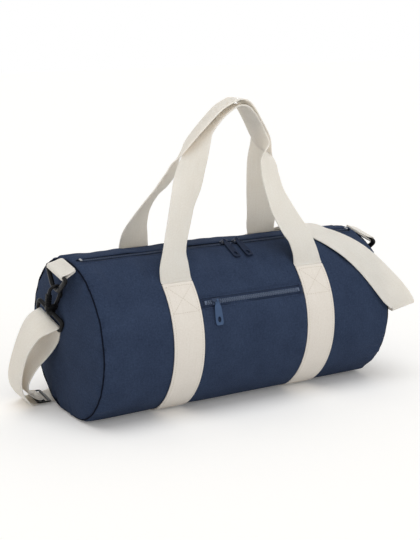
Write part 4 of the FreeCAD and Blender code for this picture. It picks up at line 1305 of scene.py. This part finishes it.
def strap_piece(name, *runs):
    route = []
    for rows in runs:
        route = route[:-1] + smooth_route(rows, STRAP_STEPS)
    centres = [Vector(row[:3]) for row in route]
    return webbing(name, centres, [Vector(row[3:]) for row in route], [WEB_WIDTH] * len(route))


inner_rows = strap_rows(STRAP_INNER)
outer_rows = strap_rows(STRAP_OUTER)
wrapped = over_bar("left", LEFT_LEAVE)
piece = strap_piece("strap_left", inner_rows + wrapped[:1], wrapped, wrapped[-1:] + outer_rows)
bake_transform(piece)
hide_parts("strap_left_loop")

sewn_rows = smooth_route(inner_rows[:3], STRAP_STEPS)


def sewn_line(side0, share0, side1, share1):
    def spot(t):
        place = (share0 + (share1 - share0) * t) * (len(sewn_rows) - 1)
        k = min(int(place), len(sewn_rows) - 2)
        near, far = Vector(sewn_rows[k][:3]), Vector(sewn_rows[k + 1][:3])
        width = Vector(sewn_rows[k][3:]).normalized()
        out = width.cross(far - near).normalized()
        if out.z < 0:
            out = -out
        centre = near.lerp(far, place - k) + width * (side0 + (side1 - side0) * t)
        return centre + out * (WEB_THICK / 2 + THREAD / 2), out

    return spot, (spot(1)[0] - spot(0)[0]).length


seams = thread_mesh()
for line in crossed_box(-BOX_HALF, SEWN_FROM, BOX_HALF, SEWN_TO):
    sew(seams, *sewn_line(*line))
trim("strap_end_stitching", seams, cream_thread, "cream_webbing", "bag")

start = outer_rows[-1]
start_turn = -math.degrees(math.atan2(start[1], start[2] - AXIS_HEIGHT))
start_lift = (math.hypot(start[1], start[2] - AXIS_HEIGHT) - BARREL_RADIUS) / STRAP_LIFT
rear_rows = [(start[0] / BARREL_LENGTH, start_turn, start_lift, 1)] + STRAP_REAR
centres = []
flats = []
for share, turn, lift, flat in smooth_route(rear_rows, STRAP_STEPS):
    radius = BARREL_RADIUS + lift * STRAP_LIFT
    angle = math.radians(turn)
    y = -radius * math.sin(angle)
    centres.append(Vector((share * BARREL_LENGTH, y, AXIS_HEIGHT + radius * math.cos(angle))))
    flats.append(flat)
widths = []
for centre, heading, flat in zip(centres, headings(centres), flats):
    radial = Vector((0, centre.y, centre.z - AXIS_HEIGHT)).normalized()
    widths.append(heading.cross(radial) * (1 - flat) + Vector(start[3:]) * flat)
wrapped = over_bar("right", RIGHT_LEAVE)
centre, drop, _, right = strap_bars["right"]
sewn = centre - right * STRAP_ARM + drop * STRAP_TAIL
join = (*centres[-1], *widths[-1].normalized())
end_route = smooth_route([join] + strap_rows(STRAP_END)[1:] + wrapped[:1], STRAP_STEPS)
end_route += smooth_route(wrapped, STRAP_STEPS)[1:] + [(*sewn, *wrapped[-1][3:])]
centres += [Vector(row[:3]) for row in end_route[1:]]
widths += [Vector(row[3:]) for row in end_route[1:]]
piece = webbing("strap_run", centres, widths, [WEB_WIDTH] * len(centres))
rest = Vector((0.262, -0.110, 0))
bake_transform(piece)
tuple(rest)
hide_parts("strap_long_run", "strap_right_end")

# Strap adjuster: a flat frame with a middle bar, moulded in one piece of black plastic.
# It lies between the strap's two layers, and the sewn end goes round its bar.
ADJUSTER_HALF = 0.0088
ADJUSTER_WIDE = 0.0288
ADJUSTER_BAR = 0.0285
ADJUSTER_LIFT = 0.0016
ADJUSTER_CORNER = 0.003
ADJUSTER_HIGH = 0.0012
ADJUSTER_BROAD = 0.0024
UPRIGHT = Vector((0, 0, 1))
sewn = inner_rows[0]
run = outer_rows[-2]
across = Vector(sewn[3:]).normalized()
middle = Vector((sewn[0], sewn[1], run[2] + WEB_THICK / 2 + ADJUSTER_LIFT))
ahead = Vector((across.y, -across.x, 0))
mesh = bmesh.new()
corners = []
for a, b in ((-1, -1), (1, -1), (1, 1), (-1, 1)):
    corners.append(middle + ahead * (a * ADJUSTER_HALF) + across * (b * ADJUSTER_WIDE))
flat_ring = oval(ADJUSTER_HIGH, ADJUSTER_BROAD, 12)
outline = rounded_loop(corners, ADJUSTER_CORNER)
sweep(mesh, path_rows(outline, UPRIGHT, True), flat_ring, True)
bar_ends = [middle - across * ADJUSTER_BAR, middle + across * ADJUSTER_BAR]
sweep(mesh, path_rows(bar_ends, UPRIGHT), flat_ring)
trim("strap_slider", mesh, black_plastic, "black_plastic", "bag", "strap_adjuster")

# Studio: a floor of white paper, which shows white to the camera and keeps the soft shadow.
# Two broad lamps, one above and one from the front, and an even ambient light fall on the bag.
FLOOR_SIZE = 8.0
FLOOR_DROP = -0.0004
PAPER_WHITE = (1.0, 1.0, 1.0, 1.0)
FLOOR_LIFT = 0.10
FLOOR_BOUNCE = 0.90
mesh = bmesh.new()
bmesh.ops.create_grid(mesh, x_segments=1, y_segments=1, size=FLOOR_SIZE)
bmesh.ops.translate(mesh, verts=mesh.verts[:], vec=(0, 0, FLOOR_DROP))
paper, tree, surface = new_surface("paper_floor")
floor = add_piece("paper_floor", mesh, paper)


def seen_directly(tree):
    rays = tree.nodes.new("ShaderNodeLightPath")
    seen = math_node(tree, "MAXIMUM", rays.outputs["Is Camera Ray"], rays.outputs["Is Glossy Ray"])
    return math_node(tree, "MAXIMUM", seen, rays.outputs["Is Transmission Ray"])


set_sockets(surface, {"Roughness": 1.0, "Specular IOR Level": 0.0, "Emission Color": PAPER_WHITE})
seen = seen_directly(tree)
tree.links.new(math_node(tree, "MULTIPLY", seen, FLOOR_LIFT), surface.inputs["Emission Strength"])
paper_tone = math_node(tree, "ADD", math_node(tree, "MULTIPLY", seen, 1 - FLOOR_BOUNCE), FLOOR_BOUNCE)
tree.links.new(paper_tone, surface.inputs["Base Color"])

AMBIENT_COLOUR = (1.0, 0.962, 0.905, 1.0)
AMBIENT_STRENGTH = 0.60
LAMP_COLOUR = (0.940, 0.970, 1.0)
world = bpy.data.worlds.new("studio")
scene.world = world
world.use_nodes = True
tree = world.node_tree
ambient = tree.nodes["Background"]
set_sockets(ambient, {"Color": AMBIENT_COLOUR, "Strength": AMBIENT_STRENGTH})
backdrop = tree.nodes.new("ShaderNodeBackground")
set_sockets(backdrop, {"Color": PAPER_WHITE, "Strength": 1.0})
either = tree.nodes.new("ShaderNodeMixShader")
tree.links.new(seen_directly(tree), either.inputs["Fac"])
tree.links.new(ambient.outputs[0], either.inputs[1])
tree.links.new(backdrop.outputs[0], either.inputs[2])
tree.links.new(either.outputs[0], tree.nodes["World Output"].inputs["Surface"])

for name, strength, spread, way in (
    ("key_light", 0.95, 45, (0.10, 0.20, -1.0)),
    ("fill_light", 0.78, 90, (-0.05, 1.00, -0.06)),
):
    lamp = bpy.data.lights.new(name, "SUN")
    lamp.energy = strength
    lamp.color = LAMP_COLOUR
    lamp.angle = math.radians(spread)
    light = bpy.data.objects.new(name, lamp)
    light.rotation_euler = Vector(way).to_track_quat("-Z", "Y").to_euler()
    scene.collection.objects.link(light)

# Camera: at the photograph's angle, from the front left and a little above.
# The lens and its small shift give the photograph's framing.
CAMERA_PLACE = (-0.9552, -1.5711, 0.5989)
CAMERA_WAY = Vector((0.5027, 0.8269, -0.2521))
lens = bpy.data.cameras.new("photo_camera")
lens.sensor_fit = "VERTICAL"
lens.sensor_width = 36
lens.sensor_height = 36
lens.lens = 81
lens.shift_x = -0.0067
lens.shift_y = 0.0811
camera = bpy.data.objects.new("photo_camera", lens)
camera.location = CAMERA_PLACE
camera.rotation_euler = CAMERA_WAY.to_track_quat("-Z", "Y").to_euler()
scene.collection.objects.link(camera)
scene.camera = camera
scene.view_settings.view_transform = "Standard"

bpy.context.view_layer.update()
